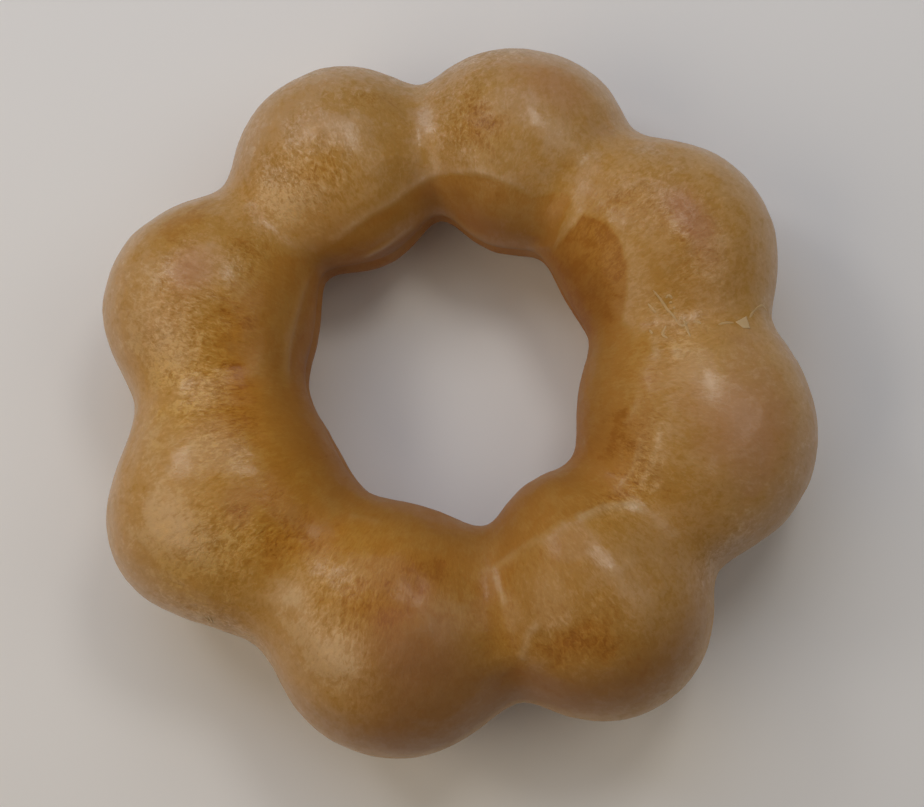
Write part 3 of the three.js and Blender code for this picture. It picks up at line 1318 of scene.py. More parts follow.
@dataclass(frozen=True)
class GlazeFilm:
    """The thin sugar glaze: how thick it lies, where it wore off, and the lines it dried in.

    It has no solid of its own. It moves the dough's skin by tenths of a millimetre, and writes
    seven attributes for the finish. Six go from 0 to 1: film, from bare crust to thick glaze,
    ridge, blush, browning, wrinkle and warmth. The seventh, grain, is a vector.

    Attributes:
        full: The film over most of the doughnut.
        underneath: The film on the underside.
        wall: The film low on the wall of the hole.
        wall_tilts: The tilts between which the film thins to that.
        underneath_tilts: The tilts between which it passes to that of the underside.
        outside_tilts: The tilts between which it is full again.
        shoulder: How much the film rises on the outer shoulder, as painted sheen of the glaze.
        pale_waist: How much paler the crust stays round the waist, between the two fried sides.
        waist_reach: How far that reaches, in degrees.
        browned_and_shaded_wall: How much darker and browner the hole's wall is: partly a duller
            brown
        crust, partly painted shade.
        wrinkled: How wrinkled the skin is everywhere.
        wrinkled_bands: How much more it is on top and on the outside.
        golden: How golden the colour is, before the patches.
        grey_shoulder: How much less golden the outer shoulder is, as painted sheen of the glaze.
        wander: How far the film's end wanders with the dough's unevenness, in degrees for each
            full height of it, and how much more for each degree over which the film thins out.
        ragged: How much the slow and the fine unevenness stretch the distances within a patch.
        ragged_least: The least that they leave of a distance, as a share.
        falloff: How flat a patch's middle is, where 1 makes it a bell.
        depth: The height of the thickest film, in millimetres.
        gather: How much higher the finest unevenness is in wrinkles, in millimetres.
        ring: The ring's radius for the grain, in millimetres.
        section: The section's radius for it.
        stretch: How many times longer the grain is across the ring than round it.
        scatter: How many patches are scattered over the outside and the underside.
        scatter_tilts: The tilts between which they lie, past 360 for the outside above its waist.
        scatter_wide: Their least and greatest reach round the ring.
        scatter_high: Their least and greatest reach round the section.
        seed: Which scatter it is.
        shores: Where the film of the top ends, in order of turn.
        patches: Where it is thicker or thinner, or the crust a different colour; some of them paint
        highlights, reflections, light and shade.
        edges: The lines in it.
    """

    full: float = 0.64
    underneath: float = 0.5
    wall: float = 0.24
    wall_tilts: tuple[float, float] = (140.0, 172.0)
    underneath_tilts: tuple[float, float] = (195.0, 235.0)
    outside_tilts: tuple[float, float] = (300.0, 350.0)
    shoulder: Band = Band(5.0, 25.0, 35.0, 55.0, strength=0.07)
    pale_waist: float = 0.12
    waist_reach: float = 9.0
    browned_and_shaded_wall: Band = Band(124.0, 156.0, 195.0, 225.0, strength=0.55)
    wrinkled: float = 0.12
    wrinkled_bands: tuple[Band, ...] = (
        Band(35.0, 65.0, 115.0, 140.0, strength=0.13),
        Band(240.0, 280.0, 395.0, 430.0, strength=0.1),
    )
    golden: float = 0.5
    grey_shoulder: Band = Band(0.0, 25.0, 30.0, 55.0, strength=-0.3)
    wander: tuple[float, float] = (2.5, 1.1)
    ragged: tuple[float, float] = (2.2, 1.8)
    ragged_least: float = 0.35
    falloff: float = 1.4
    depth: float = 0.12
    gather: float = 0.2
    ring: float = 32.0
    section: float = 13.0
    stretch: float = 1.7
    scatter: int = 84
    scatter_tilts: tuple[float, float] = (200.0, 372.0)
    scatter_wide: tuple[float, float] = (5.0, 12.0)
    scatter_high: tuple[float, float] = (9.0, 22.0)
    seed: int = 11
    shores: tuple[Shore, ...] = SHORES
    patches: tuple[Patch, ...] = PATCHES
    edges: tuple[Edge, ...] = EDGES

    def base(self, skin: Skin) -> np.ndarray:
        """Work out the film before its patches.

        Args:
            skin: The dough's skin.

        Returns:
            The film at each vertex.
        """
        turns = [shore.turn for shore in self.shores]
        end, soft, below = (
            np.interp(skin.turns, turns, [getattr(s, name) for s in self.shores], period=360.0)
            for name in ("tilt", "soft", "below")
        )
        uneven = skin.value("sway") + skin.value("ripple")
        # A crisp end wanders less than a soft one.
        wander = (self.wander[0] + self.wander[1] * soft) * uneven
        tilt = skin.tilts
        past = smooth_step((tilt + wander - end) / soft, -1.0, 1.0)
        film = self.full + (below - self.full) * past
        film += (np.minimum(self.wall, film) - film) * smooth_step(tilt, *self.wall_tilts)
        film += (self.underneath - film) * smooth_step(tilt, *self.underneath_tilts)
        film += (self.full - film) * smooth_step(tilt, *self.outside_tilts)
        # The waist wanders by up to 10 degrees for each full height of the unevenness.
        waist = wrapped(tilt + 10.0 * uneven) / self.waist_reach
        # The shoulder's rise paints the glaze's sheen at grazing angles.
        return film + self.shoulder.on(tilt) + self.pale_waist * np.exp(-(waist**2))

    def scattered(self) -> list[Patch]:
        """Scatter patches over the outside and the underside, as uneven as those of the top.

        Returns:
            The patches, the same ones each time.
        """
        random = np.random.default_rng(self.seed)
        tones = list(SCATTERED)
        patches = []
        for i in range(self.scatter):
            tone = tones[i % len(tones)]
            turn, tilt = random.uniform(0.0, 360.0), random.uniform(*self.scatter_tilts) % 360.0
            wide, high = random.uniform(*self.scatter_wide), random.uniform(*self.scatter_high)
            strength = random.uniform(*SCATTERED[tone])
            patches.append(Patch(turn, tilt, wide, high, strength, tone))
        return patches

    def lay(self, skin: Skin) -> None:
        """Lay the glaze on the skin.

        Args:
            skin: The dough's skin, which is moved and given its attributes.
        """
        sway, ripple, tilts = skin.value("sway"), skin.value("ripple"), skin.tilts
        values = {
            "film": self.base(skin),
            "blush_and_reflection": 0.0 * tilts,
            # The wall of the hole is browner and darker all round: partly duller crust, partly
            # painted shade.
            "browning_and_shade": self.browned_and_shaded_wall.on(tilts),
            "wrinkle": self.wrinkled + sum(band.on(tilts) for band in self.wrinkled_bands),
            # The greyer outer shoulder paints the glaze's sheen at grazing angles.
            "warmth": self.golden + self.grey_shoulder.on(tilts),
        }
        ragged = 1.0 + self.ragged[0] * sway + self.ragged[1] * ripple
        ragged = np.maximum(ragged, self.ragged_least)
        for patch in (*self.patches, *self.scattered()):
            name, sign = patch.tone.value
            around = wrapped(skin.turns - patch.turn) / patch.wide
            across = wrapped(tilts - patch.tilt) / patch.high
            away = around**2 + across**2
            if patch.tone is not Tone.BROWNED_AND_SHADED:
                away = away * ragged
            values[name] += sign * patch.strength * np.exp(-(away**self.falloff))
        values["ridge"] = 0.0 * tilts
        heights = self.depth * np.clip(values["film"], 0.0, 1.0)
        heights += self.gather * np.clip(values["wrinkle"], 0.0, 1.0) * skin.value("pucker")
        for line in self.edges:
            share = line.profile(skin)
            heights += share * line.height
            values["ridge"] = np.maximum(values["ridge"], share * line.film)
        skin.raise_by(heights)
        for name, numbers in values.items():
            write_values(skin.mesh, name, np.clip(numbers, 0.0, 1.0))
        write_values(skin.mesh, "grain", skin.grain(self.ring, self.section, self.stretch))


@dataclass(frozen=True)
class GlazeThreads:
    """Thin threads and specks of dried glaze, half sunk in the skin, mostly near 15 degrees.

    Attributes:
        width: A thread's width in its middle, in millimetres.
        flatness: Its height as a share of its width.
        sunk: How far its middle lies under the skin, in millimetres.
        sides: How many sides its section has.
        spacing: The distance between points along it, in millimetres.
        tip: Its width at an end, as a share of its width.
        cut: The share of its swelling that is cut off at each end.
        slim: How slim its ends are, where less is blunter.
        paths: The path of each thread.
    """

    width: float = 0.36
    flatness: float = 0.55
    sunk: float = 0.04
    sides: int = 12
    spacing: float = 0.15
    tip: float = 0.3
    cut: float = 0.04
    slim: float = 0.6
    paths: tuple[Path, ...] = (
        ((23.1, 112.4), (19.6, 110.1), (17.4, 108.7), (15.3, 106.1), (13.5, 104.3)),
        ((20.1, 107.6), (20.4, 105.4), (19.4, 104.0)),
        ((18.6, 104.8), (18.8, 106.6)),
        ((17.3, 105.2), (17.1, 104.0)),
        ((13.2, 104.5), (12.4, 101.5), (12.9, 98.3)),
        ((14.6, 103.0), (13.9, 101.6)),
        ((12.8, 95.5), (12.6, 93.2), (12.0, 90.8)),
        ((13.9, 100.6), (11.1, 99.3), (9.2, 97.7)),
        ((11.2, 80.0), (11.4, 75.0), (11.2, 69.0)),
        ((13.4, 111.0), (11.4, 113.0), (9.8, 110.0)),
        ((20.6, 118.2), (18.6, 116.6), (17.6, 115.2)),
        ((13.6, 120.4), (12.2, 118.6)),
        ((224.0, 36.5), (224.6, 32.0), (225.0, 27.0)),
        ((223.4, 33.0), (224.2, 29.0), (224.4, 25.5)),
        ((230.0, 30.0), (231.0, 31.6), (232.2, 32.0)),
        ((12.0, 54.5), (12.7, 52.0), (13.4, 48.6)),
        ((13.2, 49.5), (14.1, 43.0), (14.3, 37.0), (13.6, 31.5)),
    )

    def build(self, skin: Skin, glaze: Material) -> Object:
        """Build the threads.

        Args:
            skin: The glazed skin that they lie on.
            glaze: Their finish.

        Returns:
            All the threads, as one plain mesh.
        """
        places, ways, swells, links = [], [], [], []
        for path in self.paths:
            points, normals = follow(skin, path, self.spacing)
            first = sum(len(held) for held in places)
            links += [(first + i, first + i + 1) for i in range(len(points) - 1)]
            places.append(points - normals * self.sunk)
            ways.append(normals)
            run = np.linspace(self.cut, 1.0 - self.cut, len(points))
            swells.append(self.tip + (1.0 - self.tip) * np.sin(np.pi * run) ** self.slim)
        values = {"up": np.vstack(ways), "swell": np.concatenate(swells)}
        source = marked_points("thread_paths", np.vstack(places) * MM, values, links)
        tree, sockets = self.tree()
        settings = {
            sockets["Width"]: self.width * MM,
            sockets["Flatness"]: self.flatness,
            sockets["Sides"]: self.sides,
            sockets["Glaze"]: glaze,
        }
        return grown(source, tree, settings, "glaze_threads", glaze)

    def tree(self) -> tuple[Tree, dict[str, str]]:
        """Build the node tree that sweeps a flat, round section along each path.

        Returns:
            The tree, and the identifier of each of its inputs by name.
        """
        kinds = {"Paths": "Geometry", "Width": "Float", "Flatness": "Float", "Sides": "Int"}
        tree, sockets = open_tree("sweep_threads", {**kinds, "Glaze": "Material"})
        given = add_node(tree, "NodeGroupInput").outputs
        way, swell = (
            add_node(tree, "GeometryNodeInputNamedAttribute", {"Name": name}, data_type=kind)
            for name, kind in (("up", "FLOAT_VECTOR"), ("swell", "FLOAT"))
        )
        curves = add_node(tree, "GeometryNodeMeshToCurve", {"Mesh": given["Paths"]})
        turned = add_node(
            tree, "GeometryNodeSetCurveNormal", {"Curve": curves, "Normal": way}, mode="FREE"
        )
        radius = add_node(tree, MATH, {0: given["Width"], 1: 0.5}, operation="MULTIPLY")
        section = add_node(
            tree,
            "GeometryNodeCurvePrimitiveCircle",
            {"Resolution": given["Sides"], "Radius": radius},
        )
        # The section's X lies along the curve's normal.
        scale = {"X": given["Flatness"], "Y": 1.0, "Z": 1.0}
        squash = add_node(tree, "ShaderNodeCombineXYZ", scale)
        flat = add_node(tree, "GeometryNodeTransform", {"Geometry": section, "Scale": squash})
        swept = add_node(
            tree,
            "GeometryNodeCurveToMesh",
            {"Curve": turned, "Profile Curve": flat, "Scale": swell, "Fill Caps": True},
        )
        close_tree(tree, swept, given["Glaze"])
        return tree, sockets


@dataclass(frozen=True)
class GlazeFlake:
    """A thin, pale flake of glaze that lifted at the neck at 12 degrees.

    Attributes:
        outline: The turn and tilt of each corner.
        lift: The height of its face above the skin, in millimetres.
        rim: How much higher its rim stands.
        rim_share: The reach of that, as a share of the way in to its middle.
        brink: The height of its outermost points, as a share of its rim's.
        sunk: How far its underside lies inside the skin.
        rings: How many rings of faces lie between its middle and its rim.
        spacing: The distance between points round its rim.
        degrees: About how long a degree of turn and one of tilt are there, in millimetres.
    """

    outline: Path
    lift: float = 0.06
    rim: float = 0.03
    rim_share: float = 0.14
    brink: float = 0.6
    sunk: float = 0.15
    rings: int = 8
    spacing: float = 0.22
    degrees: tuple[float, float] = (0.6, 0.24)

    def build(self, name: str, skin: Skin, glaze: Material) -> Object:
        """Build the flake.

        Args:
            name: Its name.
            skin: The glazed skin that it lies on.
            glaze: Its finish.

        Returns:
            The flake as one closed mesh.
        """
        corners = np.array(self.outline)
        sides = []
        for start, end in zip(corners, np.roll(corners, -1, axis=0)):
            steps = max(int(np.linalg.norm((end - start) * self.degrees) / self.spacing), 1)
            shares = np.linspace(0, 1, steps, endpoint=False)[:, None]
            sides.append(start + (end - start) * shares)
        loop = np.vstack(sides)
        middle = loop.mean(axis=0)
        # The rings of the face, from the innermost out, then the rim of the underside.
        points = []
        for share in np.arange(1, self.rings + 1) / self.rings:
            place = middle + (loop - middle) * share
            point, normal = skin.at(place[:, 0], place[:, 1])
            bead = np.exp(-(((1.0 - share) / self.rim_share) ** 2))
            height = (self.lift + self.rim * bead) * (1.0 if share < 1.0 else self.brink)
            points.append(point + normal * height)
        low, normal = skin.at(loop[:, 0], loop[:, 1])
        top, up = skin.at(middle[:1], middle[1:])
        points += [low - normal * self.sunk, top + up * self.lift, top - up * self.sunk]
        count = len(loop)
        above, below = (self.rings + 1) * count, (self.rings + 1) * count + 1
        pairs = [(i, (i + 1) % count) for i in range(count)]
        faces = [
            (inner + i, inner + count + i, inner + count + j, inner + j)
            for inner in range(0, self.rings * count, count)
            for i, j in pairs
        ]
        for i, j in pairs:
            faces += [(above, i, j), (below, self.rings * count + j, self.rings * count + i)]
        mesh = bpy.data.meshes.new(name)
        mesh.from_pydata((np.vstack(points) * MM).tolist(), [], faces)
        mesh.materials.append(glaze)
        mesh.polygons.foreach_set("use_smooth", [True] * len(mesh.polygons))
        shell = bmesh.new()
        shell.from_mesh(mesh)
        bmesh.ops.recalc_face_normals(shell, faces=shell.faces)
        shell.to_mesh(mesh)
        shell.free()
        return linked(name, mesh)


# ---- The finish ---------------------------------------------------------------------------------


def new_material(name: str, **settings: float | str | tuple[float, ...]) -> Material:
    """Start a material with a principled shader.

    Args:
        name: The material's name.
        **settings: The constant inputs of its shader, by their names in lower case with an
            underscore for each space. A hex colour is an sRGB one.

    Returns:
        The material.
    """
    material = bpy.data.materials.new(name)
    material.use_nodes = True
    shader = material.node_tree.nodes["Principled BSDF"]
    sockets = {socket.name.lower().replace(" ", "_"): socket for socket in shader.inputs}
    for key, value in settings.items():
        sockets[key].default_value = linear(value) if isinstance(value, str) else value
    return material


@dataclass(frozen=True)
class GlazedCrust:
    """Fried dough under a thin, half-clear sugar glaze.

    The crust is golden brown and finely mottled, with the short fibres that fried dough has. The
    glaze over it is milky and soft, so where it lies thick the crust shows pale and even. It is
    glossier than the crust, and light goes a little way into both.

    Sizes are in millimetres and colours are sRGB.

    Attributes:
        name: The material's name.
        shades: The colours from bare crust to the thickest glaze, each with its share of the way.
        ridge: The colour of a line where the glaze stands thick.
        blush_and_reflection: The colour that a pinkish crust goes towards. It also paints the
        pinkish reflection of the lights on some crowns.
        blush_and_reflection_share: How far it goes.
        brown: The colour that a browned crust goes towards. It also paints the shade low on the
        outside and in the hole.
        brown_share: How far it goes.
        greyer_gain: What the greyest colour does to red, green and blue.
        golden_gain: What the most golden colour does to them.
        cloud_size: Distance from one cloud in the glaze to the next.
        blotch_size: Distance from one blotch of the crust to the next.
        fibre_size: Distance from one fibre of the skin to the next.
        crease_size: Distance from one crease to the next.
        patch_size: Distance from one rough spot to the next.
        strand_size: Distance from one pale strand to the next.
        strand_share: The share of that which is strand.
        seen: How much the clouds, the blotches and the grain thicken the glaze that is seen.
        crust_relief: How much the grain and the blotches count in the crust's relief.
        crust_height: Height of that relief.
        glaze_relief: How much they count in the relief of the glaze over it.
        glaze_height: Height of that.
        light_reach: How far red light goes into it.
    """

    name: str = "fried_dough_under_sugar_glaze"
    shades: tuple[tuple[float, str], ...] = (
        (0.0, "#A1671B"),
        (0.25, "#AF7A2D"),
        (0.5, "#B5863B"),
        (0.72, "#BC9050"),
        (0.97, "#C59F69"),
    )
    ridge: str = "#C9AB7F"
    blush_and_reflection: str = "#B57D57"
    blush_and_reflection_share: float = 0.62
    brown: str = "#8C5C33"
    brown_share: float = 0.7
    greyer_gain: tuple[float, float, float] = (0.99, 1.035, 1.42)
    golden_gain: tuple[float, float, float] = (1.06, 0.985, 0.64)
    cloud_size: float = 6.0
    blotch_size: float = 1.9
    # The real fibres are 0.1 to 0.3 mm wide; they are drawn a little coarser, to show.
    fibre_size: float = 0.36
    crease_size: float = 0.58
    patch_size: float = 1.7
    strand_size: float = 0.8
    strand_share: float = 0.04
    seen: tuple[float, float, float] = (0.34, 0.48, 1.2)
    crust_relief: tuple[float, float] = (0.85, 0.25)
    crust_height: float = 0.11
    glaze_relief: tuple[float, float] = (0.35, 0.2)
    glaze_height: float = 0.12
    light_reach: float = 1.6

    def make(self) -> Material:
        """Make the material.

        Returns:
            The material, which reads the attributes film, ridge, blush, browning, wrinkle, warmth
            and grain.
        """
        material = new_material(
            self.name,
            ior=1.45,
            specular_ior_level=0.12,
            coat_roughness=0.25,
            subsurface_weight=0.18,
            subsurface_radius=(1.0, 0.5, 0.22),
            subsurface_scale=self.light_reach * MM,
        )
        tree = material.node_tree
        given = {
            name: add_node(tree, "ShaderNodeAttribute", attribute_name=name).outputs["Fac"]
            for name in ("film", "ridge", "blush_and_reflection", "browning_and_shade", "wrinkle", "warmth")
        }
        place = add_node(tree, "ShaderNodeTexCoord").outputs["Object"]
        cloud, blotch = (
            self.noise(tree, place, size, detail=3.0, roughness=0.55, distortion=0.6)
            for size in (self.cloud_size, self.blotch_size)
        )
        fine = self.grain(tree, given["wrinkle"])
        film, ridge = (given["film"], 1.0), (given["ridge"], 1.0)
        total = self.sum_of(tree, film, *zip((cloud, blotch, fine), self.seen), ridge)
        shown = add_node(tree, MATH, {0: total, 1: 0.0}, operation="ADD", use_clamp=True)
        # Thick glaze is the smoother and the glossier.
        gloss, coat = (
            add_node(tree, MAP_RANGE, {"Value": shown, **limits})
            for limits in (
                {"From Min": 0.1, "From Max": 0.9, "To Min": 0.6, "To Max": 0.45},
                {"From Min": 0.15, "From Max": 0.7, "To Min": 0.25, "To Max": 0.68},
            )
        )
        bumps = []
        for height, amounts in (
            (self.crust_height, self.crust_relief),
            (self.glaze_height, self.glaze_relief),
        ):
            relief = self.sum_of(tree, *zip((fine, blotch), amounts))
            values = {"Strength": 1.0, "Distance": height * MM, "Height": relief}
            bumps.append(add_node(tree, "ShaderNodeBump", values).outputs["Normal"])
        shader = tree.nodes["Principled BSDF"]
        for name, value in (
            ("Base Color", self.colour(tree, shown, fine, given)),
            ("Roughness", gloss.outputs["Result"]),
            ("Normal", bumps[0]),
            ("Coat Weight", coat.outputs["Result"]),
            ("Coat Normal", bumps[1]),
        ):
            tree.links.new(value, shader.inputs[name])
        return material

    def grain(self, tree: Tree, wrinkle: Socket) -> Node:
        """Add the fine grain of the skin.

        It shows where the skin is wrinkled, and hardly at all where the glaze dried smooth.

        Args:
            tree: The material's tree.
            wrinkle: How wrinkled the skin is.

        Returns:
            The node that holds the grain.
        """
        place = add_node(tree, "ShaderNodeAttribute", attribute_name="grain").outputs["Vector"]
        fibre, crease, spread, twisted = (
            self.noise(tree, place, size, detail=detail, roughness=roughness, distortion=distortion)
            for size, detail, roughness, distortion in (
                (self.fibre_size, 2.0, 0.6, 0.5),
                (self.crease_size, 3.0, 0.6, 0.7),
                (self.patch_size, 2.0, 0.5, 0.4),
                (self.strand_size, 2.0, 0.5, 0.8),
            )
        )
        # Strands run where a twisted noise passes its middle.
        away = add_node(tree, MATH, {0: twisted}, operation="ABSOLUTE")
        limits = {"From Min": 0.0, "From Max": self.strand_share, "To Min": 0.08, "To Max": -0.02}
        strand = add_node(
            tree, MAP_RANGE, {"Value": away, **limits}, interpolation_type="SMOOTHSTEP"
        )
        total = self.sum_of(tree, (fibre, 0.5), (crease, 0.78), (spread, 0.28), (strand, 0.8))
        limits = {"From Min": 0.0, "From Max": 1.0, "To Min": 0.12, "To Max": 1.5}
        share = add_node(tree, MAP_RANGE, {"Value": wrinkle, **limits})
        return add_node(tree, MATH, {0: total, 1: share}, operation="MULTIPLY")

    def colour(self, tree: Tree, shown: Node, fine: Node, given: dict[str, Socket]) -> Socket:
        """Add the colour.

        Args:
            tree: The material's tree.
            shown: How thick the glaze is that is seen.
            fine: The fine grain.
            given: The skin's attributes, by name.

        Returns:
            The socket that holds the colour.
        """
        ramp = add_node(tree, "ShaderNodeValToRGB", {"Fac": shown})
        ramp.color_ramp.interpolation = "EASE"
        stops = ramp.color_ramp.elements
        for position, _ in self.shades[1:-1]:
            stops.new(position)
        for stop, (position, shade) in zip(stops, self.shades):
            stop.position, stop.color = position, linear(shade)
        # The grain darkens the colour in its dips and lightens it on its rises: partly the crust's
        # own mottling, partly painted shade in the dips and painted light on the rises.
        limits = {"From Min": -0.2, "From Max": 0.2, "To Min": 0.88, "To Max": 1.12}
        light = add_node(tree, MAP_RANGE, {"Value": fine, **limits})
        lit = add_node(
            tree,
            VECTOR_MATH,
            {0: ramp.outputs["Color"], "Scale": light.outputs["Result"]},
            operation="SCALE",
        )
        gains = {"A": self.greyer_gain, "B": self.golden_gain}
        gain = add_node(
            tree, "ShaderNodeMix", {"Factor": given["warmth"], **gains}, data_type="VECTOR"
        )
        colour = add_node(tree, VECTOR_MATH, {0: lit, 1: gain}, operation="MULTIPLY")
        # The brown mix also paints shade low on the outside and in the hole.
        # The pinkish mix also paints the reflection of the lights on some crowns.
        for name, most, over in (
            ("blush_and_reflection", self.blush_and_reflection_share, self.blush_and_reflection),
            ("browning_and_shade", self.brown_share, self.brown),
            ("ridge", 1.0, self.ridge),
        ):
            share = add_node(tree, MATH, {0: given[name], 1: most}, operation="MULTIPLY")
            layers = {"Factor": share, "A": colour, "B": linear(over)}
            colour = add_node(tree, "ShaderNodeMix", layers, data_type="RGBA")
        return next(socket for socket in colour.outputs if socket.enabled)

    def sum_of(self, tree: Tree, *terms: tuple[Node | Socket, float]) -> Node:
        """Add up patterns, each times its own amount.

        Args:
            tree: The material's tree.
            *terms: Each pattern and its amount.

        Returns:
            The node that holds the sum.
        """
        total = None
        for pattern, amount in terms:
            part = add_node(tree, MATH, {0: pattern, 1: amount}, operation="MULTIPLY")
            if total is not None:
                part = add_node(tree, MATH, {0: total, 1: part}, operation="ADD")
            total = part
        return total

    def noise(self, tree: Tree, place: Socket, size: float, **shape: float) -> Node:
        """Add a noise, from about -0.5 to 0.5.

        Args:
            tree: The material's tree.
            place: The coordinates.
            size: The distance from one rise to the next, in millimetres.
            **shape: The noise's detail, roughness and distortion.

        Returns:
            The node that holds the noise.
        """
        values = {name.capitalize(): value for name, value in shape.items()}
        values = {"Vector": place, "Scale": 1.0 / (size * MM), **values}
        noise = add_node(tree, "ShaderNodeTexNoise", values)
        return add_node(tree, MATH, {0: noise, 1: 0.5}, operation="SUBTRACT")


@dataclass(frozen=True)
class DriedGlaze:
    """Sugar glaze that dried on its own: pale, a little clear and softly glossy.

    Attributes:
        name: The material's name.
        pale: Its sRGB colour.
        light_reach: How far red light goes into it, in millimetres.
    """

    name: str = "dried_sugar_glaze"
    pale: str = "#CAA26C"
    light_reach: float = 0.8

    def make(self) -> Material:
        """Return the material, made anew."""
        return new_material(
            self.name,
            base_color=self.pale,
            roughness=0.4,
            specular_ior_level=0.3,
            subsurface_weight=0.3,
            subsurface_radius=(1.0, 0.7, 0.4),
            subsurface_scale=self.light_reach * MM,
        )


@dataclass(frozen=True)
class MattBoard:
    """Painted board with a dead matt face, which gives soft shadows and no reflections.

    Attributes:
        name: The material's name.
        white: Its sRGB colour.
    """

    name: str = "matt_white_board"
    white: str = "#EFEEEC"

    def make(self) -> Material:
        """Return the material, made anew."""
        return new_material(
            self.name, base_color=self.white, roughness=0.95, specular_ior_level=0.1
        )


# ---- The studio ---------------------------------------------------------------------------------


@dataclass(frozen=True)
class Softbox:
    """An oval soft light that faces the doughnut. Angles are in degrees, lengths in millimetres.

    Attributes:
        name: The light's name.
        azimuth: The way to it, from +X towards +Y.
        elevation: Its height above the horizon.
        distance: Its distance from the doughnut.
        width: Its width.
        height: Its height.
        glow: The brightness of its face, where 1 makes a white card that it fills the view of
            white.
        tint: Its sRGB colour.
        aim: The height above the floor of the point that it faces.
    """

    name: str
    azimuth: float
    elevation: float
    distance: float
    width: float
    height: float
    glow: float
    tint: str = "#FFFAF4"
    aim: float = 12.0

    def hang(self) -> None:
        """Add the light to the scene."""
        turn, rise = math.radians(self.azimuth), math.radians(self.elevation)
        level = math.cos(rise)
        way = Vector((math.cos(turn) * level, math.sin(turn) * level, math.sin(rise)))
        data = bpy.data.lights.new(self.name, "AREA")
        data.shape = "ELLIPSE"
        data.size, data.size_y = self.width * MM, self.height * MM
        face = math.pi / 4.0 * self.width * self.height * MM**2
        data.energy = self.glow * math.pi * face
        data.color = linear(self.tint)[:3]
        light = linked(self.name, data)
        light.location = (way * self.distance + Vector((0.0, 0.0, self.aim))) * MM
        light.rotation_euler = way.to_track_quat("Z", "Y").to_euler()


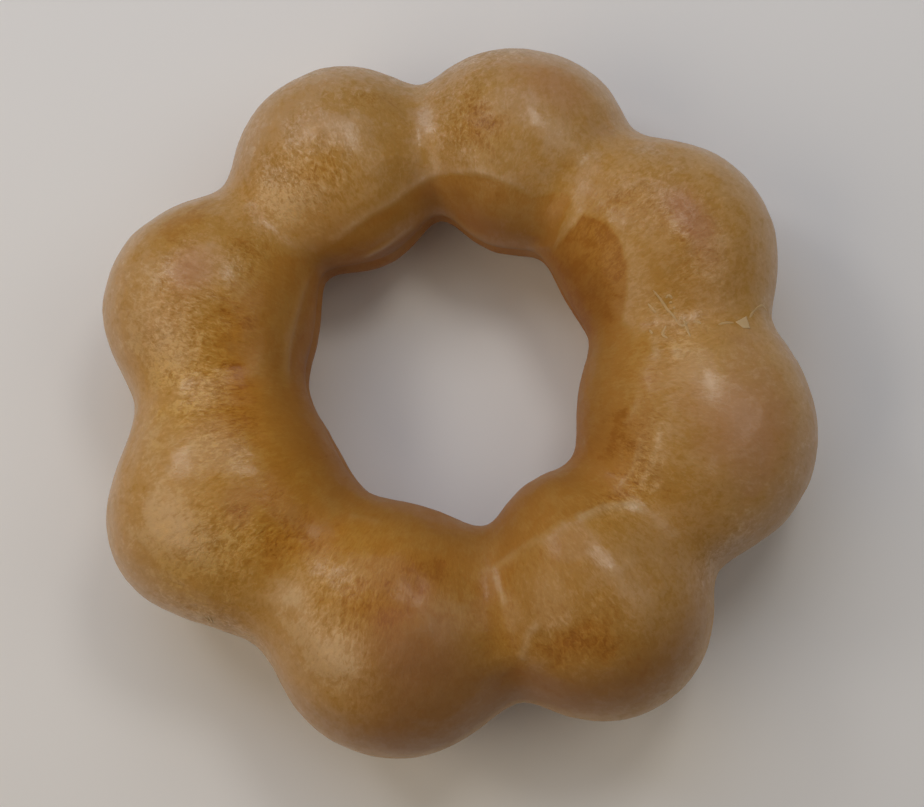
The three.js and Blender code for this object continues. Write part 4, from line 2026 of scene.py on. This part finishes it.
@dataclass(frozen=True)
class Studio:
    """A pale floor, soft lights and the camera. Angles are in degrees, lengths in millimetres.

    Attributes:
        azimuth: How far the camera stands from -Y towards +X.
        elevation: Its height above the horizon.
        distance: Its distance from its target.
        target: The point that it looks at.
        lens: Its focal length.
        sensor: Its sensor's width.
        nearest: How near it sees.
        floor_reach: The floor's radius.
        floor_sides: How many sides the floor's rim has.
        ambience: The light that the walls give.
        wall_glow: How bright the walls are where they are seen.
        lights: The soft lights.
    """

    azimuth: float = 30.0
    elevation: float = 79.0
    distance: float = 215.0
    target: tuple[float, float, float] = (1.37, -1.40, 13.0)
    lens: float = 67.85
    sensor: float = 36.0
    nearest: float = 10.0
    floor_reach: float = 270.0
    floor_sides: int = 96
    ambience: float = 0.12
    wall_glow: float = 0.62
    lights: tuple[Softbox, ...] = (
        Softbox("left_panel", 200, 44, 340, width=330, height=250, glow=1.59, tint="#FFEBCD"),
        Softbox("upper_panel", 105, 50, 360, width=420, height=260, glow=1.18, tint="#D9E5FF"),
        Softbox("right_panel", 10, 47, 400, width=260, height=220, glow=1.07, tint="#FFF8EE"),
        Softbox("right_window", 55, 57, 330, width=100, height=80, glow=6.8),
        Softbox("left_window", 143, 42, 330, width=90, height=85, glow=5.2),
    )

    def set_camera(self) -> None:
        """Set the camera above the doughnut, rolled so that +Y stays up in the picture."""
        turn, rise = math.radians(self.azimuth), math.radians(self.elevation)
        level = math.cos(rise)
        back = Vector((math.sin(turn) * level, -math.cos(turn) * level, math.sin(rise)))
        data = bpy.data.cameras.new("camera")
        data.lens = self.lens
        data.sensor_width = self.sensor
        data.clip_start = self.nearest * MM
        camera = linked("camera", data)
        camera.location = (Vector(self.target) + back * self.distance) * MM
        unrolled = back.to_track_quat("Z", "Y").to_matrix().to_4x4()
        camera.rotation_euler = (unrolled @ Matrix.Rotation(-turn, 4, "Z")).to_euler()
        bpy.context.scene.camera = camera

    def lay_floor(self) -> None:
        """Lay the floor."""
        turns = np.linspace(0.0, 2.0 * np.pi, self.floor_sides, endpoint=False)
        rim = np.column_stack([np.cos(turns), np.sin(turns), 0.0 * turns]) * self.floor_reach * MM
        mesh = bpy.data.meshes.new("floor")
        mesh.from_pydata(rim.tolist(), [], [tuple(range(self.floor_sides))])
        mesh.materials.append(MattBoard().make())
        linked("floor", mesh)

    def build(self) -> None:
        """Set up the camera, the floor and the lights."""
        self.set_camera()
        self.lay_floor()
        world = bpy.data.worlds.new("studio")
        world.use_nodes = True
        tree = world.node_tree
        background = tree.nodes["Background"]
        background.inputs["Color"].default_value = (1.0, 1.0, 1.0, 1.0)
        # The walls are pale where they are seen, and give little light.
        seen = add_node(tree, "ShaderNodeLightPath").outputs["Is Camera Ray"]
        limits = {"To Min": self.ambience, "To Max": self.wall_glow}
        glow = add_node(tree, MAP_RANGE, {"Value": seen, **limits})
        tree.links.new(glow.outputs["Result"], background.inputs["Strength"])
        bpy.context.scene.world = world
        bpy.context.scene.view_settings.view_transform = "Standard"
        for light in self.lights:
            light.hang()


@dataclass(frozen=True)
class Doughnut:
    """The whole doughnut: the ring of dough and the glaze on it.

    Attributes:
        dough: The ring of dough.
        glaze: The glaze over it.
        threads: The threads of glaze that dried on it.
        flake: The flake that lifted from it.
        crust: The finish of the ring.
        dried: The finish of the threads.
        lifted: The finish of the flake.
    """

    dough: DoughRing = DoughRing()
    glaze: GlazeFilm = GlazeFilm()
    threads: GlazeThreads = GlazeThreads()
    flake: GlazeFlake = GlazeFlake(((11.3, 67.5), (12.3, 57.6), (9.8, 57.8), (9.9, 63.0)))
    crust: GlazedCrust = GlazedCrust()
    dried: DriedGlaze = DriedGlaze()
    lifted: DriedGlaze = DriedGlaze(name="lifted_sugar_glaze", pale="#D2B081")

    def build(self) -> list[Object]:
        """Build the doughnut in place of its solid.

        Returns:
            The glazed skin and the pieces of glaze that stand on it.
        """
        ring = self.dough.make(self.crust.make())
        skin = Skin(ring, self.dough)
        self.glaze.lay(skin)
        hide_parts("doughnut")
        flake = self.flake.build("glaze_flake", skin, self.lifted.make())
        threads = self.threads.build(skin, self.dried.make())
        pieces = [ring, flake, threads]
        for piece in pieces:
            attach(piece, "root")
            mesh = piece.data
            sizes = (len(mesh.vertices), len(mesh.polygons))
            log.info("%s: %d vertices, %d faces", piece.name, *sizes)
        return pieces


def main() -> None:
    """Set up the studio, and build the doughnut."""
    logging.basicConfig(level=logging.INFO, format="%(name)s: %(message)s")
    Studio().build()
    Doughnut().build()


if __name__ == "__main__":
    main()
